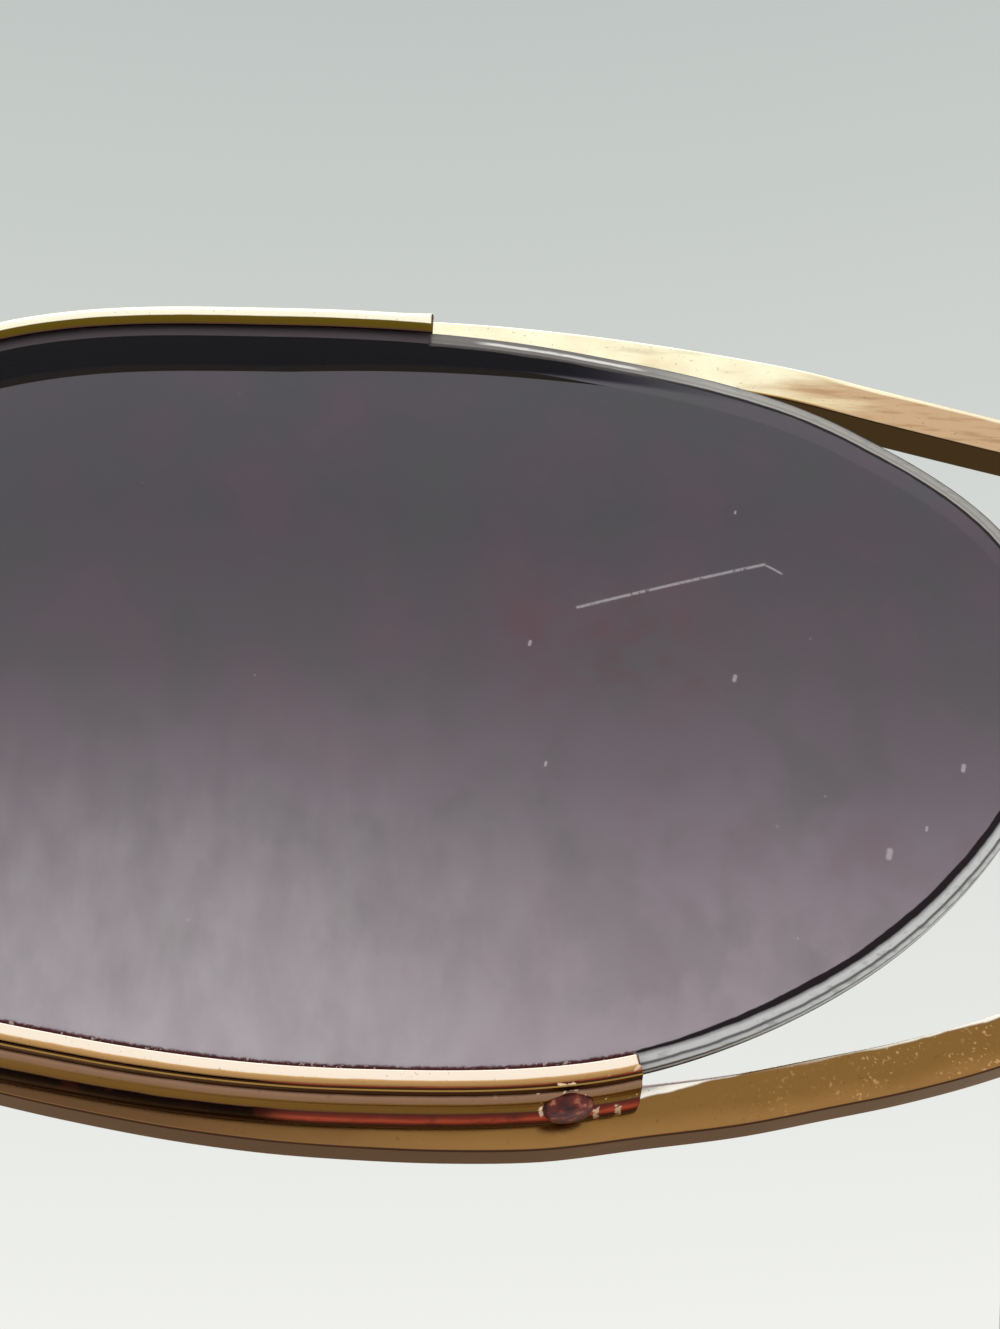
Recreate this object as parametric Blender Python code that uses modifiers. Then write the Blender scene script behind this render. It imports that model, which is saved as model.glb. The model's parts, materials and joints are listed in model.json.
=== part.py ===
"""Semi-rimless eyeglasses: oval tinted lenses held by a short channel rim, with two bars round each free lens end.

Metres, +Z up, the front faces -Y and the temples run back along +Y. The glasses stand open on the lower bars and
the temple tips. The left side of the wearer is at +X. It is modelled first, and the right side is its mirror.
"""

import math

import bmesh
import bpy
import numpy as np
from mathutils import Matrix, Vector

MM = 0.001

# Lenses and the front
lens_width = 54.0 * MM
lens_height = 30.4 * MM
lens_thickness = 1.6 * MM
lens_front_radius = 112.0 * MM
lens_edge_reach = 0.75 * MM
lens_facet_depth = 0.2 * MM
lens_edge_flat = 0.5 * MM
bridge_width = 17.0 * MM
wrap_angle = math.radians(5.0)
seat_gap = 0.3 * MM

# Channel rim
rim_lip_reach = 0.33 * MM
rim_web = 0.4 * MM
rim_front_lip = 0.27 * MM
rim_back_lip = 0.4 * MM
rim_lens_gap = 0.25 * MM
rim_corner = 0.15 * MM
rim_upper_end = 2.8 * MM
rim_lower_end = 9.2 * MM

# Bars
upper_bar_thickness = 1.6 * MM
lower_bar_thickness = 1.4 * MM
upper_bar_height = 1.9 * MM
upper_bar_nasal_height = 1.0 * MM
upper_bar_rim_height = 2.15 * MM
upper_bar_rise = 1.9 * MM
upper_bar_nasal_reach = 0.35 * MM
lower_bar_height = 1.8 * MM
lower_bar_drop = 0.9 * MM
lower_bar_nasal_reach = -0.05 * MM
bar_nasal_start = 3.5 * MM
bar_straight_from = 7.5 * MM

# Rim screw
rim_screw_radius = 0.4 * MM
rim_screw_head_radius = 0.9 * MM
rim_screw_head_height = 0.3 * MM
rim_screw_place = 6.9 * MM
screw_clearance = 0.08 * MM

# Bridge
bridge_radius = 0.9 * MM
bridge_level = 5.5 * MM
bridge_rise = 3.6 * MM

# Endpiece
endpiece_height = 4.2 * MM
endpiece_wall = 2.0 * MM
endpiece_front = 4.0 * MM
endpiece_depth = 6.6 * MM
endpiece_level = 10.8 * MM
endpiece_across = 35.9 * MM
endpiece_bend = 1.4 * MM

# Hinge
knuckle_radius = 1.35 * MM
knuckle_height = 1.3 * MM
hinge_pin_radius = 0.65 * MM
hinge_running = 0.06 * MM
hinge_leaf_gap = 0.12 * MM
hinge_leaf_length = 3.6 * MM
hinge_leaf_thickness = 0.6 * MM
hinge_screw_head_radius = 1.15 * MM
hinge_screw_head_height = 0.5 * MM

# Temple
temple_length = 137.0 * MM
temple_thickness = 1.3 * MM
temple_front_height = 3.6 * MM
temple_back_height = 1.9 * MM
temple_let_back = math.radians(3.5)
temple_bend_from = 92.0 * MM
temple_bend_radius = 34.0 * MM
tip_height = 5.6 * MM
tip_thickness = 3.2 * MM
tip_length = 46.0 * MM
tip_wall_gap = 0.3 * MM
tip_core_length = 30.0 * MM

# Nose pads
pad_height = 13.0 * MM
pad_width = 7.2 * MM
pad_thickness = 2.3 * MM
pad_spread = 17.2 * MM
pad_back = 8.6 * MM
pad_drop = 3.4 * MM
pad_splay = math.radians(24.0)
pad_frontal = math.radians(12.0)
pad_lug_length = 1.7 * MM
pad_lug_width = 1.1 * MM
pad_lug_height = 2.2 * MM
pad_arm_radius = 0.5 * MM
pad_arm_lead = 1.0 * MM
pad_arm_reach = 3.6 * MM
pad_arm_back = 0.9 * MM
pad_arm_fall = 0.6 * MM
cup_wall = 0.55 * MM
cup_side_gap = 0.15 * MM
pad_screw_radius = 0.36 * MM
pad_screw_head_radius = 0.72 * MM
pad_screw_head_height = 0.4 * MM

# Proportions of the lens outline, each point as a share of half the width and half the height
lens_outline = (
    (0.985, 0.08), (0.93, 0.46), (0.715, 0.752), (0.32, 0.935), (-0.11, 0.995), (-0.52, 0.97), (-0.84, 0.72),
    (-0.99, 0.21), (-0.91, -0.35), (-0.622, -0.755), (-0.345, -0.907), (-0.012, -0.986), (0.368, -0.935),
    (0.71, -0.616), (0.888, -0.262),
)

# Outer edges of the bars between the rim and the endpiece, as shares of half the lens width and half its height
upper_bar_route = ((0.37, 1.171), (0.53, 1.136), (0.68, 1.089), (0.80, 1.031), (0.99, 0.944), (1.18, 0.862))
lower_bar_route = ((0.505, -1.059), (0.605, -1.022), (0.71, -0.982), (0.84, -0.918), (1.04, -0.773), (1.22, -0.46),
                   (1.34, -0.02))


def clear_scene():
    for item in list(bpy.data.objects):
        bpy.data.objects.remove(item, do_unlink=True)


def new_collection(name):
    collection = bpy.data.collections.new(name)
    bpy.context.scene.collection.children.link(collection)
    return collection


def new_material(name, colour, roughness, metallic, alpha=1.0):
    material = bpy.data.materials.new(name)
    material.use_nodes = True
    shader = material.node_tree.nodes["Principled BSDF"]
    shader.inputs["Base Color"].default_value = (*colour, 1.0)
    shader.inputs["Roughness"].default_value = roughness
    shader.inputs["Metallic"].default_value = metallic
    shader.inputs["Alpha"].default_value = alpha
    return material


clear_scene()
parts = new_collection("eyeglasses")
cutters = new_collection("cutters")
gold = new_material("polished_gold", (0.80, 0.58, 0.27), 0.16, 1.0)
steel = new_material("screw_steel", (0.70, 0.66, 0.58), 0.25, 1.0)
tinted = new_material("tinted_lens", (0.16, 0.14, 0.16), 0.05, 0.0, 0.6)
sleeve = new_material("sleeve_plastic", (0.09, 0.05, 0.03), 0.22, 0.0)
silicone = new_material("clear_silicone", (0.80, 0.79, 0.74), 0.35, 0.0, 0.7)


# Paths on the flat front, as arrays of (across, up)

def smooth_path(points, count, closed=False):
    """Evenly spaced points on a smooth curve through the given ones."""
    given = np.array(points, dtype=float)
    total = len(given)
    spans = total if closed else total - 1
    slopes = np.zeros_like(given)
    for index in range(total):
        if closed or 0 < index < total - 1:
            before, here, after = given[index - 1], given[index], given[(index + 1) % total]
            run_in, run_out = np.linalg.norm(here - before), np.linalg.norm(after - here)
            slopes[index] = ((here - before) / run_in * run_out + (after - here) / run_out * run_in)
            slopes[index] /= run_in + run_out
    if not closed:
        slopes[0] = (given[1] - given[0]) / np.linalg.norm(given[1] - given[0])
        slopes[-1] = (given[-1] - given[-2]) / np.linalg.norm(given[-1] - given[-2])
    fine = []
    for index in range(spans):
        start, end = given[index], given[(index + 1) % total]
        run = np.linalg.norm(end - start)
        for t in np.linspace(0.0, 1.0, 24, endpoint=False):
            fine.append(
                (2 * t**3 - 3 * t**2 + 1) * start + (t**3 - 2 * t**2 + t) * run * slopes[index]
                + (3 * t**2 - 2 * t**3) * end + (t**3 - t**2) * run * slopes[(index + 1) % total]
            )
    fine.append(given[0] if closed else given[-1])
    fine = np.array(fine)
    lengths = np.concatenate([[0.0], np.cumsum(np.linalg.norm(np.diff(fine, axis=0), axis=1))])
    wanted = np.linspace(0.0, lengths[-1], count, endpoint=not closed)
    return np.stack([np.interp(wanted, lengths, fine[:, axis]) for axis in range(fine.shape[1])], axis=1)


def offset_path(path, distance, closed=False):
    """The path moved to its right by a distance, which may differ from point to point."""
    if closed:
        tangents = np.roll(path, -1, axis=0) - np.roll(path, 1, axis=0)
    else:
        tangents = np.gradient(path, axis=0)
    tangents /= np.linalg.norm(tangents, axis=1)[:, None]
    across = np.stack([tangents[:, 1], -tangents[:, 0]], axis=1)
    return path + across * np.broadcast_to(np.asarray(distance), (len(path),))[:, None]


def scaled_points(points):
    return [(x * lens_width / 2, z * lens_height / 2) for x, z in points]


outline = smooth_path(scaled_points(lens_outline), 72, closed=True)
rim_back = lens_thickness + rim_back_lip
rim_outer = lens_edge_reach + rim_lens_gap + rim_web
bar_front = rim_back + seat_gap


def sag(across, up):
    """How far the lens front falls back from its middle."""
    return (across * across + up * up) / (2 * lens_front_radius)


def bar_sag(across, up):
    """The bars follow the lens behind the rim, and run straight on past it."""
    if across <= bar_straight_from:
        return sag(across, up)
    run = across - bar_straight_from
    return sag(bar_straight_from, up) + run * bar_straight_from / lens_front_radius


def bar_route(route, reaches, count, top):
    """The outer edge of a bar: it leaves the rim slowly up to the rim's end and then runs to the endpiece."""
    fine = smooth_path(scaled_points(lens_outline), 360, closed=True)
    sign = 1 if top else -1
    stop = rim_upper_end if top else rim_lower_end
    chosen = [point for point in fine if point[1] * sign > bar_nasal_start and point[0] < stop]
    chosen = np.array(sorted(chosen, key=lambda point: point[0]))
    proud = rim_outer + np.linspace(*reaches, len(chosen))
    behind = offset_path(chosen, -sign * proud)
    picked = behind[np.linspace(0, len(behind) - 1, 14).astype(int)]
    if top:
        end = (endpiece_across, endpiece_level + upper_bar_height / 2)
    else:
        end = (endpiece_across + lower_bar_height, endpiece_level - endpiece_height / 2 - seat_gap)
    return smooth_path([*picked, *scaled_points(route), end], count)


upper_edge = bar_route(upper_bar_route, (upper_bar_nasal_reach, upper_bar_rise), 46, True)
lower_edge = bar_route(lower_bar_route, (lower_bar_nasal_reach, lower_bar_drop), 52, False)

# Each lens stands wrapped round the face: the flat front is bent back, turned and set on its lower bar

front_level = -min(point[1] for point in lower_edge)
lens_middle = bridge_width / 2 + lens_width / 2 * math.cos(wrap_angle)


def front_place(across, up, forward):
    """World place of a point that lies forward of the flat front."""
    x = lens_middle + across * math.cos(wrap_angle) + forward * math.sin(wrap_angle)
    y = across * math.sin(wrap_angle) - forward * math.cos(wrap_angle)
    return Vector((x, y, front_level + up))


def add_object(name, mesh, material, origin=(0.0, 0.0, 0.0)):
    """A named piece whose origin is where it turns, from a mesh in world places."""
    mesh.transform(Matrix.Translation(-Vector(origin)))
    piece = bpy.data.objects.new(name, mesh)
    piece.location = origin
    piece.data.materials.clear()
    piece.data.materials.append(material)
    parts.objects.link(piece)
    return piece


def tidy_mesh(mesh, smooth_angle=math.radians(35)):
    """Weld the caps, point every face outwards and shade the round parts smooth."""
    work = bmesh.new()
    work.from_mesh(mesh)
    bmesh.ops.remove_doubles(work, verts=work.verts, dist=0.00001)
    bmesh.ops.dissolve_degenerate(work, dist=0.000001, edges=work.edges)
    bmesh.ops.recalc_face_normals(work, faces=work.faces)
    if work.calc_volume(signed=True) < 0:
        bmesh.ops.reverse_faces(work, faces=work.faces)
    work.to_mesh(mesh)
    work.free()
    mesh.shade_smooth()
    mesh.set_sharp_from_angle(angle=smooth_angle)
    return mesh


def mirrored_mesh(mesh):
    other = mesh.copy()
    other.transform(Matrix.Scale(-1, 4, (1, 0, 0)))
    other.flip_normals()
    return other


def both_sides(name, mesh, material, origin=(0.0, 0.0, 0.0)):
    """The left piece and its mirror."""
    right_mesh = mirrored_mesh(mesh)
    left = add_object(name + "_left", mesh, material, origin)
    right = add_object(name + "_right", right_mesh, material, (-origin[0], origin[1], origin[2]))
    return left, right


def curve_mesh(curve):
    """The mesh of a curve, which is then removed."""
    holder = bpy.data.objects.new("curve_holder", curve)
    cutters.objects.link(holder)
    bpy.context.view_layer.update()
    graph = bpy.context.evaluated_depsgraph_get()
    mesh = bpy.data.meshes.new_from_object(holder.evaluated_get(graph))
    bpy.data.objects.remove(holder, do_unlink=True)
    return tidy_mesh(mesh)


def poly_curve(name, points, closed=False, flat=False):
    curve = bpy.data.curves.new(name, "CURVE")
    curve.dimensions = "2D" if flat else "3D"
    curve.render_resolution_u = 0
    spline = curve.splines.new("POLY")
    spline.points.add(len(points) - 1)
    for target, point in zip(spline.points, points):
        depth = point[2] if len(point) > 2 else 0.0
        target.co = (point[0], point[1], depth, 1.0)
    spline.use_cyclic_u = closed
    return curve


def plate_mesh(name, points, thickness):
    """A flat outline made into a plate, from its own plane to half its thickness each way."""
    curve = poly_curve(name, points, closed=True, flat=True)
    curve.fill_mode = "BOTH"
    curve.extrude = thickness / 2
    return curve_mesh(curve)


def rail_mesh(name, points, radius, sides=2):
    """A round wire along a route."""
    curve = poly_curve(name, points)
    curve.bevel_depth = radius
    curve.bevel_resolution = sides
    curve.use_fill_caps = True
    return curve_mesh(curve)


def boolean(target, cutter_mesh, operation="DIFFERENCE"):
    """The target mesh cut or joined with another."""
    body = bpy.data.objects.new("boolean_body", target)
    tool = bpy.data.objects.new("boolean_tool", cutter_mesh)
    cutters.objects.link(body)
    cutters.objects.link(tool)
    tool.hide_render = True
    tool.display_type = "WIRE"
    cut = body.modifiers.new("cut", "BOOLEAN")
    cut.operation = operation
    cut.solver = "EXACT"
    cut.object = tool
    bpy.context.view_layer.update()
    graph = bpy.context.evaluated_depsgraph_get()
    mesh = bpy.data.meshes.new_from_object(body.evaluated_get(graph))
    bpy.data.objects.remove(body, do_unlink=True)
    bpy.data.objects.remove(tool, do_unlink=True)
    return tidy_mesh(mesh)


def cylinder_mesh(radius, height, centre, sides=20, axis=(0.0, 0.0, 1.0)):
    mesh = bpy.data.meshes.new("cylinder")
    work = bmesh.new()
    bmesh.ops.create_cone(work, cap_ends=True, segments=sides, radius1=radius, radius2=radius, depth=height)
    turn = Vector((0.0, 0.0, 1.0)).rotation_difference(Vector(axis)).to_matrix().to_4x4()
    bmesh.ops.transform(work, matrix=Matrix.Translation(centre) @ turn, verts=work.verts)
    work.to_mesh(mesh)
    work.free()
    return mesh


def box_mesh(size, centre, turn=Matrix.Identity(4)):
    mesh = bpy.data.meshes.new("box")
    work = bmesh.new()
    bmesh.ops.create_cube(work, size=1.0)
    bmesh.ops.scale(work, vec=size, verts=work.verts)
    bmesh.ops.transform(work, matrix=Matrix.Translation(centre) @ turn, verts=work.verts)
    work.to_mesh(mesh)
    work.free()
    return mesh


def headed_screw_mesh(radius, length, head_radius, head_height, sides=20):
    """A turned screw along +Z: its shank starts at zero and its domed head sits above the length."""
    profile = (
        (0.0, length + head_height), (head_radius * 0.6, length + head_height * 0.9),
        (head_radius, length + head_height * 0.45), (head_radius, length), (radius, length), (radius, 0.0), (0.0, 0.0),
    )
    mesh = bpy.data.meshes.new("screw")
    work = bmesh.new()
    ring = [work.verts.new((r, 0.0, z)) for r, z in profile]
    for first, second in zip(ring, ring[1:]):
        work.edges.new((first, second))
    work.to_mesh(mesh)
    work.free()
    body = bpy.data.objects.new("screw_profile", mesh)
    cutters.objects.link(body)
    turned = body.modifiers.new("turn", "SCREW")
    turned.steps = sides
    turned.render_steps = sides
    turned.use_merge_vertices = True
    turned.merge_threshold = 0.00001
    bpy.context.view_layer.update()
    graph = bpy.context.evaluated_depsgraph_get()
    turned_mesh = bpy.data.meshes.new_from_object(body.evaluated_get(graph))
    bpy.data.objects.remove(body, do_unlink=True)
    return tidy_mesh(turned_mesh)


def bend_front(mesh, fall):
    """Bend a flat front piece by its fall and set it in its place."""
    for vertex in mesh.vertices:
        across, up, forward = vertex.co
        vertex.co = front_place(across, up, forward - fall(across, up))
    return tidy_mesh(mesh)


def loft_mesh(name, rings, start, end):
    """A closed skin through rings of equal length, closed at a point in front and one behind."""
    mesh = bpy.data.meshes.new(name)
    work = bmesh.new()
    loops = [[work.verts.new(point) for point in ring] for ring in rings]
    for near, far in zip(loops, loops[1:]):
        for index in range(len(near)):
            after = (index + 1) % len(near)
            work.faces.new((near[index], near[after], far[after], far[index]))
    for loop, point in ((loops[0], start), (loops[-1], end)):
        middle = work.verts.new(point)
        for index in range(len(loop)):
            work.faces.new((loop[index], loop[(index + 1) % len(loop)], middle))
    work.to_mesh(mesh)
    work.free()
    return tidy_mesh(mesh)


def make_lenses():
    """A domed lens whose edge rises to a narrow band, which the rim grips."""
    steps = (0.28, 0.54, 0.78)
    edge = offset_path(outline, lens_edge_reach, closed=True)
    edge_back = lens_facet_depth + lens_edge_flat
    flat_rings = [(outline * step, 0.0) for step in (*steps, 1.0)]
    flat_rings += [(edge, lens_facet_depth), (edge, edge_back)]
    flat_rings += [(outline * step, lens_thickness) for step in (1.0, *reversed(steps))]
    rings = [[(x, z, -depth) for x, z in ring] for ring, depth in flat_rings]
    mesh = loft_mesh("lens", rings, (0.0, 0.0, 0.0), (0.0, 0.0, -lens_thickness))
    both_sides("lens", bend_front(mesh, sag), tinted)


def rim_path(count):
    """The lens outline from the rim's upper end, round the nasal side, to its lower end."""
    fine = smooth_path(scaled_points(lens_outline), 720, closed=True)
    top = min(range(720), key=lambda i: abs(fine[i][0] - rim_upper_end) + (0 if fine[i][1] > 0 else 1))
    bottom = min(range(720), key=lambda i: abs(fine[i][0] - rim_lower_end) + (0 if fine[i][1] < 0 else 1))
    return smooth_path(fine[np.linspace(top, bottom, count // 2).astype(int)], count)


def make_rims():
    """A channel that opens towards the lens, swept along the gripped part of its edge."""
    groove = lens_edge_reach + rim_lens_gap
    section = (
        (rim_lip_reach, rim_front_lip), (rim_lip_reach + rim_corner, rim_front_lip + rim_corner / 2),
        (rim_outer - rim_corner, rim_front_lip + rim_corner / 2), (rim_outer, rim_front_lip - rim_corner),
        (rim_outer, -rim_back), (rim_lip_reach, -rim_back), (rim_lip_reach, -lens_thickness),
        (groove, -lens_thickness), (groove, rim_corner / 2), (rim_lip_reach, rim_corner / 2),
    )
    path = rim_path(48)
    tangents = np.gradient(path, axis=0)
    tangents /= np.linalg.norm(tangents, axis=1)[:, None]
    mesh = bpy.data.meshes.new("rim")
    work = bmesh.new()
    loops = []
    for (x, z), (run_x, run_z) in zip(path, tangents):
        loops.append([work.verts.new((x + run_z * r, z - run_x * r, w)) for r, w in section])
    for near, far in zip(loops, loops[1:]):
        for index in range(len(section)):
            after = (index + 1) % len(section)
            work.faces.new((near[index], near[after], far[after], far[index]))
    work.faces.new(loops[0])
    work.faces.new(loops[-1])
    work.to_mesh(mesh)
    work.free()
    tidy_mesh(mesh)
    hole = cylinder_mesh(rim_screw_radius + screw_clearance, rim_web * 3, (0.0, 0.0, 0.0), 16)
    hole.transform(rim_screw_seat())
    mesh = boolean(mesh, hole)
    both_sides("rim", bend_front(mesh, sag), gold)


def rim_screw_seat():
    """The middle of the lower web where the rim screw crosses it, with +Z out through the web."""
    below = np.array(sorted((point for point in outline if point[1] < 0), key=lambda point: point[0]))
    reach = rim_screw_head_radius
    near = np.interp((rim_screw_place - reach, rim_screw_place, rim_screw_place + reach), below[:, 0], below[:, 1])
    slope = math.atan2(near[2] - near[0], 2 * reach)
    outwards = Vector((math.sin(slope), -math.cos(slope), 0.0))
    middle = Vector((rim_screw_place, near[1], -rim_back * 0.55)) + outwards * (rim_outer - rim_web / 2)
    return Matrix.Translation(middle) @ Vector((0.0, 0.0, 1.0)).rotation_difference(outwards).to_matrix().to_4x4()


def make_rim_screws():
    head_gap = 0.1 * MM
    mesh = headed_screw_mesh(rim_screw_radius, rim_web + head_gap, rim_screw_head_radius, rim_screw_head_height, 16)
    mesh.transform(rim_screw_seat() @ Matrix.Translation((0.0, 0.0, -rim_web / 2)))
    both_sides("rim_screw", bend_front(mesh, sag), steel)


def band_mesh(name, outer_edge, heights, thickness):
    """A flat bar behind the rim, under its outer edge. Its height may change along it."""
    inner_edge = offset_path(outer_edge, heights)
    mesh = plate_mesh(name, [*outer_edge, *inner_edge[::-1]], thickness)
    mesh.transform(Matrix.Translation((0.0, 0.0, -bar_front - thickness / 2)))
    return bend_front(mesh, bar_sag)


def make_bars():
    """Two flat bars behind the rim, which go on round the free end of the lens."""
    rim_share = 0.45
    heights = np.interp(np.linspace(0.0, 1.0, len(upper_edge)), (0.0, rim_share, rim_share + 0.2, 1.0),
                        (upper_bar_nasal_height, upper_bar_rim_height, upper_bar_height, upper_bar_height))
    both_sides("upper_bar", band_mesh("upper_bar", upper_edge, heights, upper_bar_thickness), gold)
    heights = np.full(len(lower_edge), -lower_bar_height)
    both_sides("lower_bar", band_mesh("lower_bar", lower_edge, heights, lower_bar_thickness), gold)


def bar_end():
    """World place of the front of the bars where they reach the endpiece."""
    fall = bar_front + bar_sag(endpiece_across, endpiece_level)
    return front_place(endpiece_across, endpiece_level, -fall)


def hinge_place():
    """World place of the left hinge axis, level with the middle of the endpiece."""
    end = bar_end()
    x = end.x + endpiece_front - endpiece_wall - seat_gap - knuckle_radius
    y = end.y + endpiece_depth
    return Vector((x, y, front_level + endpiece_level))


def make_endpieces():
    """A corner block: its short leg meets both bars and its long leg runs back to the hinge."""
    end, hinge = bar_end(), hinge_place()
    left, right = end.x + seat_gap, end.x + endpiece_front
    front, back = end.y - 0.2 * MM, hinge.y - seat_gap / 2
    cut = endpiece_bend
    plan = ((left, front), (right - cut, front), (right, front + cut), (right, back), (right - endpiece_wall, back),
            (right - endpiece_wall, front + endpiece_wall + cut / 2), (right - endpiece_wall - cut / 2,
            front + endpiece_wall), (left, front + endpiece_wall))
    mesh = plate_mesh("endpiece", plan, endpiece_height)
    mesh.transform(Matrix.Translation((0.0, 0.0, hinge.z)))
    for piece in both_sides("endpiece", mesh, gold):
        rounded = piece.modifiers.new("edges", "BEVEL")
        rounded.width = 0.25 * MM
        rounded.segments = 1
        rounded.limit_method = "ANGLE"


def knuckle(centre, height):
    return cylinder_mesh(knuckle_radius, height, centre, 24)


def leaf_mesh(knuckle_levels, direction):
    """A hinge leaf: a plate against the metal beside it, joined to its knuckles and bored for the pin."""
    hinge = hinge_place()
    outer = hinge.x + knuckle_radius
    plate_height = knuckle_height * 3 + hinge_leaf_gap * 2
    start = knuckle_radius + hinge_leaf_gap
    size = (hinge_leaf_thickness, hinge_leaf_length - start, plate_height)
    centre = (outer - hinge_leaf_thickness / 2, hinge.y + direction * (start + hinge_leaf_length) / 2, hinge.z)
    mesh = box_mesh(size, centre)
    for level in knuckle_levels:
        arm_centre = (outer - hinge_leaf_thickness * 0.55, hinge.y + direction * start * 0.6, hinge.z + level)
        arm = box_mesh((hinge_leaf_thickness * 0.8, start, knuckle_height), arm_centre)
        mesh = boolean(mesh, boolean(knuckle((hinge.x, hinge.y, hinge.z + level), knuckle_height), arm, "UNION"),
                       "UNION")
    bore = cylinder_mesh(hinge_pin_radius + hinge_running, plate_height * 2, hinge, 24)
    return boolean(mesh, bore)


def make_hinges():
    """Two knuckles on the endpiece and one between them on the temple, on a headed screw."""
    hinge = hinge_place()
    pitch = knuckle_height + hinge_leaf_gap
    mesh = leaf_mesh((pitch, -pitch), -1)
    both_sides("endpiece_hinge", mesh, gold)
    mesh = leaf_mesh((0.0,), 1)
    both_sides("temple_hinge", let_back(mesh), gold, hinge)
    length = knuckle_height * 3 + hinge_leaf_gap * 3
    mesh = headed_screw_mesh(hinge_pin_radius, length, hinge_screw_head_radius, hinge_screw_head_height)
    mesh.transform(Matrix.Translation((hinge.x, hinge.y, hinge.z - length / 2 + hinge_leaf_gap / 2)))
    both_sides("hinge_screw", mesh, steel)


def let_back(mesh):
    """Turn a temple piece outwards about the hinge axis, to where the open temple stops."""
    hinge = hinge_place()
    turn = Matrix.Rotation(-temple_let_back, 4, "Z")
    mesh.transform(Matrix.Translation(hinge) @ turn @ Matrix.Translation(-hinge))
    return mesh


def temple_centre_line(count, start, end, drop_angle):
    """Side view of the temple: straight, then bent down over the ear. Points are (back, up)."""
    points = []
    for travel in np.linspace(start, end, count):
        past = travel - temple_bend_from
        turn = min(max(past, 0.0) / temple_bend_radius, drop_angle)
        y = min(travel, temple_bend_from) + temple_bend_radius * math.sin(turn)
        z = -temple_bend_radius * (1 - math.cos(turn))
        run = max(past - drop_angle * temple_bend_radius, 0.0)
        points.append((y + run * math.cos(turn), z - run * math.sin(turn)))
    return np.array(points)


def temple_drop_angle():
    """The bend that brings the tip's foot to the floor."""
    hinge = hinge_place()
    low, high = math.radians(10), math.radians(75)
    for _ in range(40):
        angle = (low + high) / 2
        end = temple_centre_line(2, 0.0, temple_length, angle)[-1]
        reach = -end[1] + tip_height / 2 * math.cos(angle)
        low, high = (angle, high) if reach < hinge.z else (low, angle)
    return angle


def side_plate(name, points, thickness, middle_x):
    """A plate in side view, from points of (back, up)."""
    mesh = plate_mesh(name, points, thickness)
    mesh.transform(Matrix(((0, 0, 1, middle_x), (1, 0, 0, 0), (0, 1, 0, 0), (0, 0, 0, 1))))
    return tidy_mesh(mesh)


def arm_outline(line, heights):
    upper = offset_path(line, -np.asarray(heights) / 2)
    lower = offset_path(line, np.asarray(heights) / 2)
    return [*upper, *lower[::-1]]


def make_temples():
    """A tapered flat temple, whose end runs inside a plastic sleeve."""
    hinge = hinge_place()
    angle = temple_drop_angle()
    middle_x = hinge.x + knuckle_radius + seat_gap + temple_thickness / 2
    place = np.array((hinge.y, hinge.z))
    sleeve_start = temple_length - tip_length
    core_end = sleeve_start + tip_core_length
    butt = seat_gap / 2 + (knuckle_radius + seat_gap + temple_thickness) * math.sin(temple_let_back)
    line = temple_centre_line(40, butt, core_end, angle)
    travel = np.linspace(0.0, core_end, 40)
    heights = np.interp(travel, (0.0, sleeve_start, core_end),
                        (temple_front_height, temple_back_height, temple_back_height))
    mesh = side_plate("temple", np.array(arm_outline(line, heights)) + place, temple_thickness, middle_x)
    both_sides("temple", let_back(mesh), gold, hinge)

    line = temple_centre_line(30, sleeve_start, temple_length, angle)
    reach = np.linspace(0.0, 1.0, 30)
    heights = tip_height * np.interp(reach, (0.0, 0.08, 0.5, 1.0), (0.62, 0.72, 0.85, 1.0))
    points = np.array(arm_outline(line, heights)) + place
    end = line[-1] + place
    run = np.array((math.cos(angle), -math.sin(angle)))
    across = np.array((-run[1], run[0]))
    nose = [end + run * tip_height * 0.5 * math.cos(turn) + across * tip_height * 0.5 * math.sin(turn)
            for turn in np.radians((60, 30, 0, -30, -60))]
    outline_points = [*points[:30], *nose, *points[30:]]
    mesh = side_plate("temple_tip", outline_points, tip_thickness, middle_x)
    flat = box_mesh((tip_thickness * 3, tip_length * 2, tip_height * 2),
                    (middle_x, end[0], -tip_height))
    mesh = boolean(mesh, flat)
    core = temple_centre_line(24, sleeve_start - 2 * MM, core_end + tip_wall_gap, angle)
    socket_height = temple_back_height + tip_wall_gap * 2
    socket = side_plate("socket", np.array(arm_outline(core, np.full(24, socket_height))) + place,
                        temple_thickness + tip_wall_gap * 2, middle_x)
    mesh = boolean(mesh, socket)
    both_sides("temple_tip", let_back(mesh), sleeve, hinge)


def make_bridge():
    """An arched round bar between the two rims."""
    start = nasal_place(bridge_level, seat_gap + bridge_radius * 0.2)
    half = [(start.x, start.y, start.z), (start.x * 0.82, start.y - 0.2 * MM, start.z + bridge_rise * 0.45),
            (start.x * 0.45, start.y - 0.5 * MM, start.z + bridge_rise * 0.9), (0.0, start.y - 0.6 * MM,
            start.z + bridge_rise)]
    points = [*half, *[(-x, y, z) for x, y, z in reversed(half[:-1])]]
    mesh = rail_mesh("bridge", smooth_path(points, 25), bridge_radius)
    add_object("bridge", mesh, gold)


def nasal_place(level, clearance):
    """World place beside the nasal side of the rim at a level of the lens."""
    nearest = min((point for point in outline if point[0] < 0), key=lambda point: abs(point[1] - level))
    across = nearest[0] - rim_outer - clearance
    return front_place(across, nearest[1], -rim_back * 0.5 - sag(across, nearest[1]))


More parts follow.
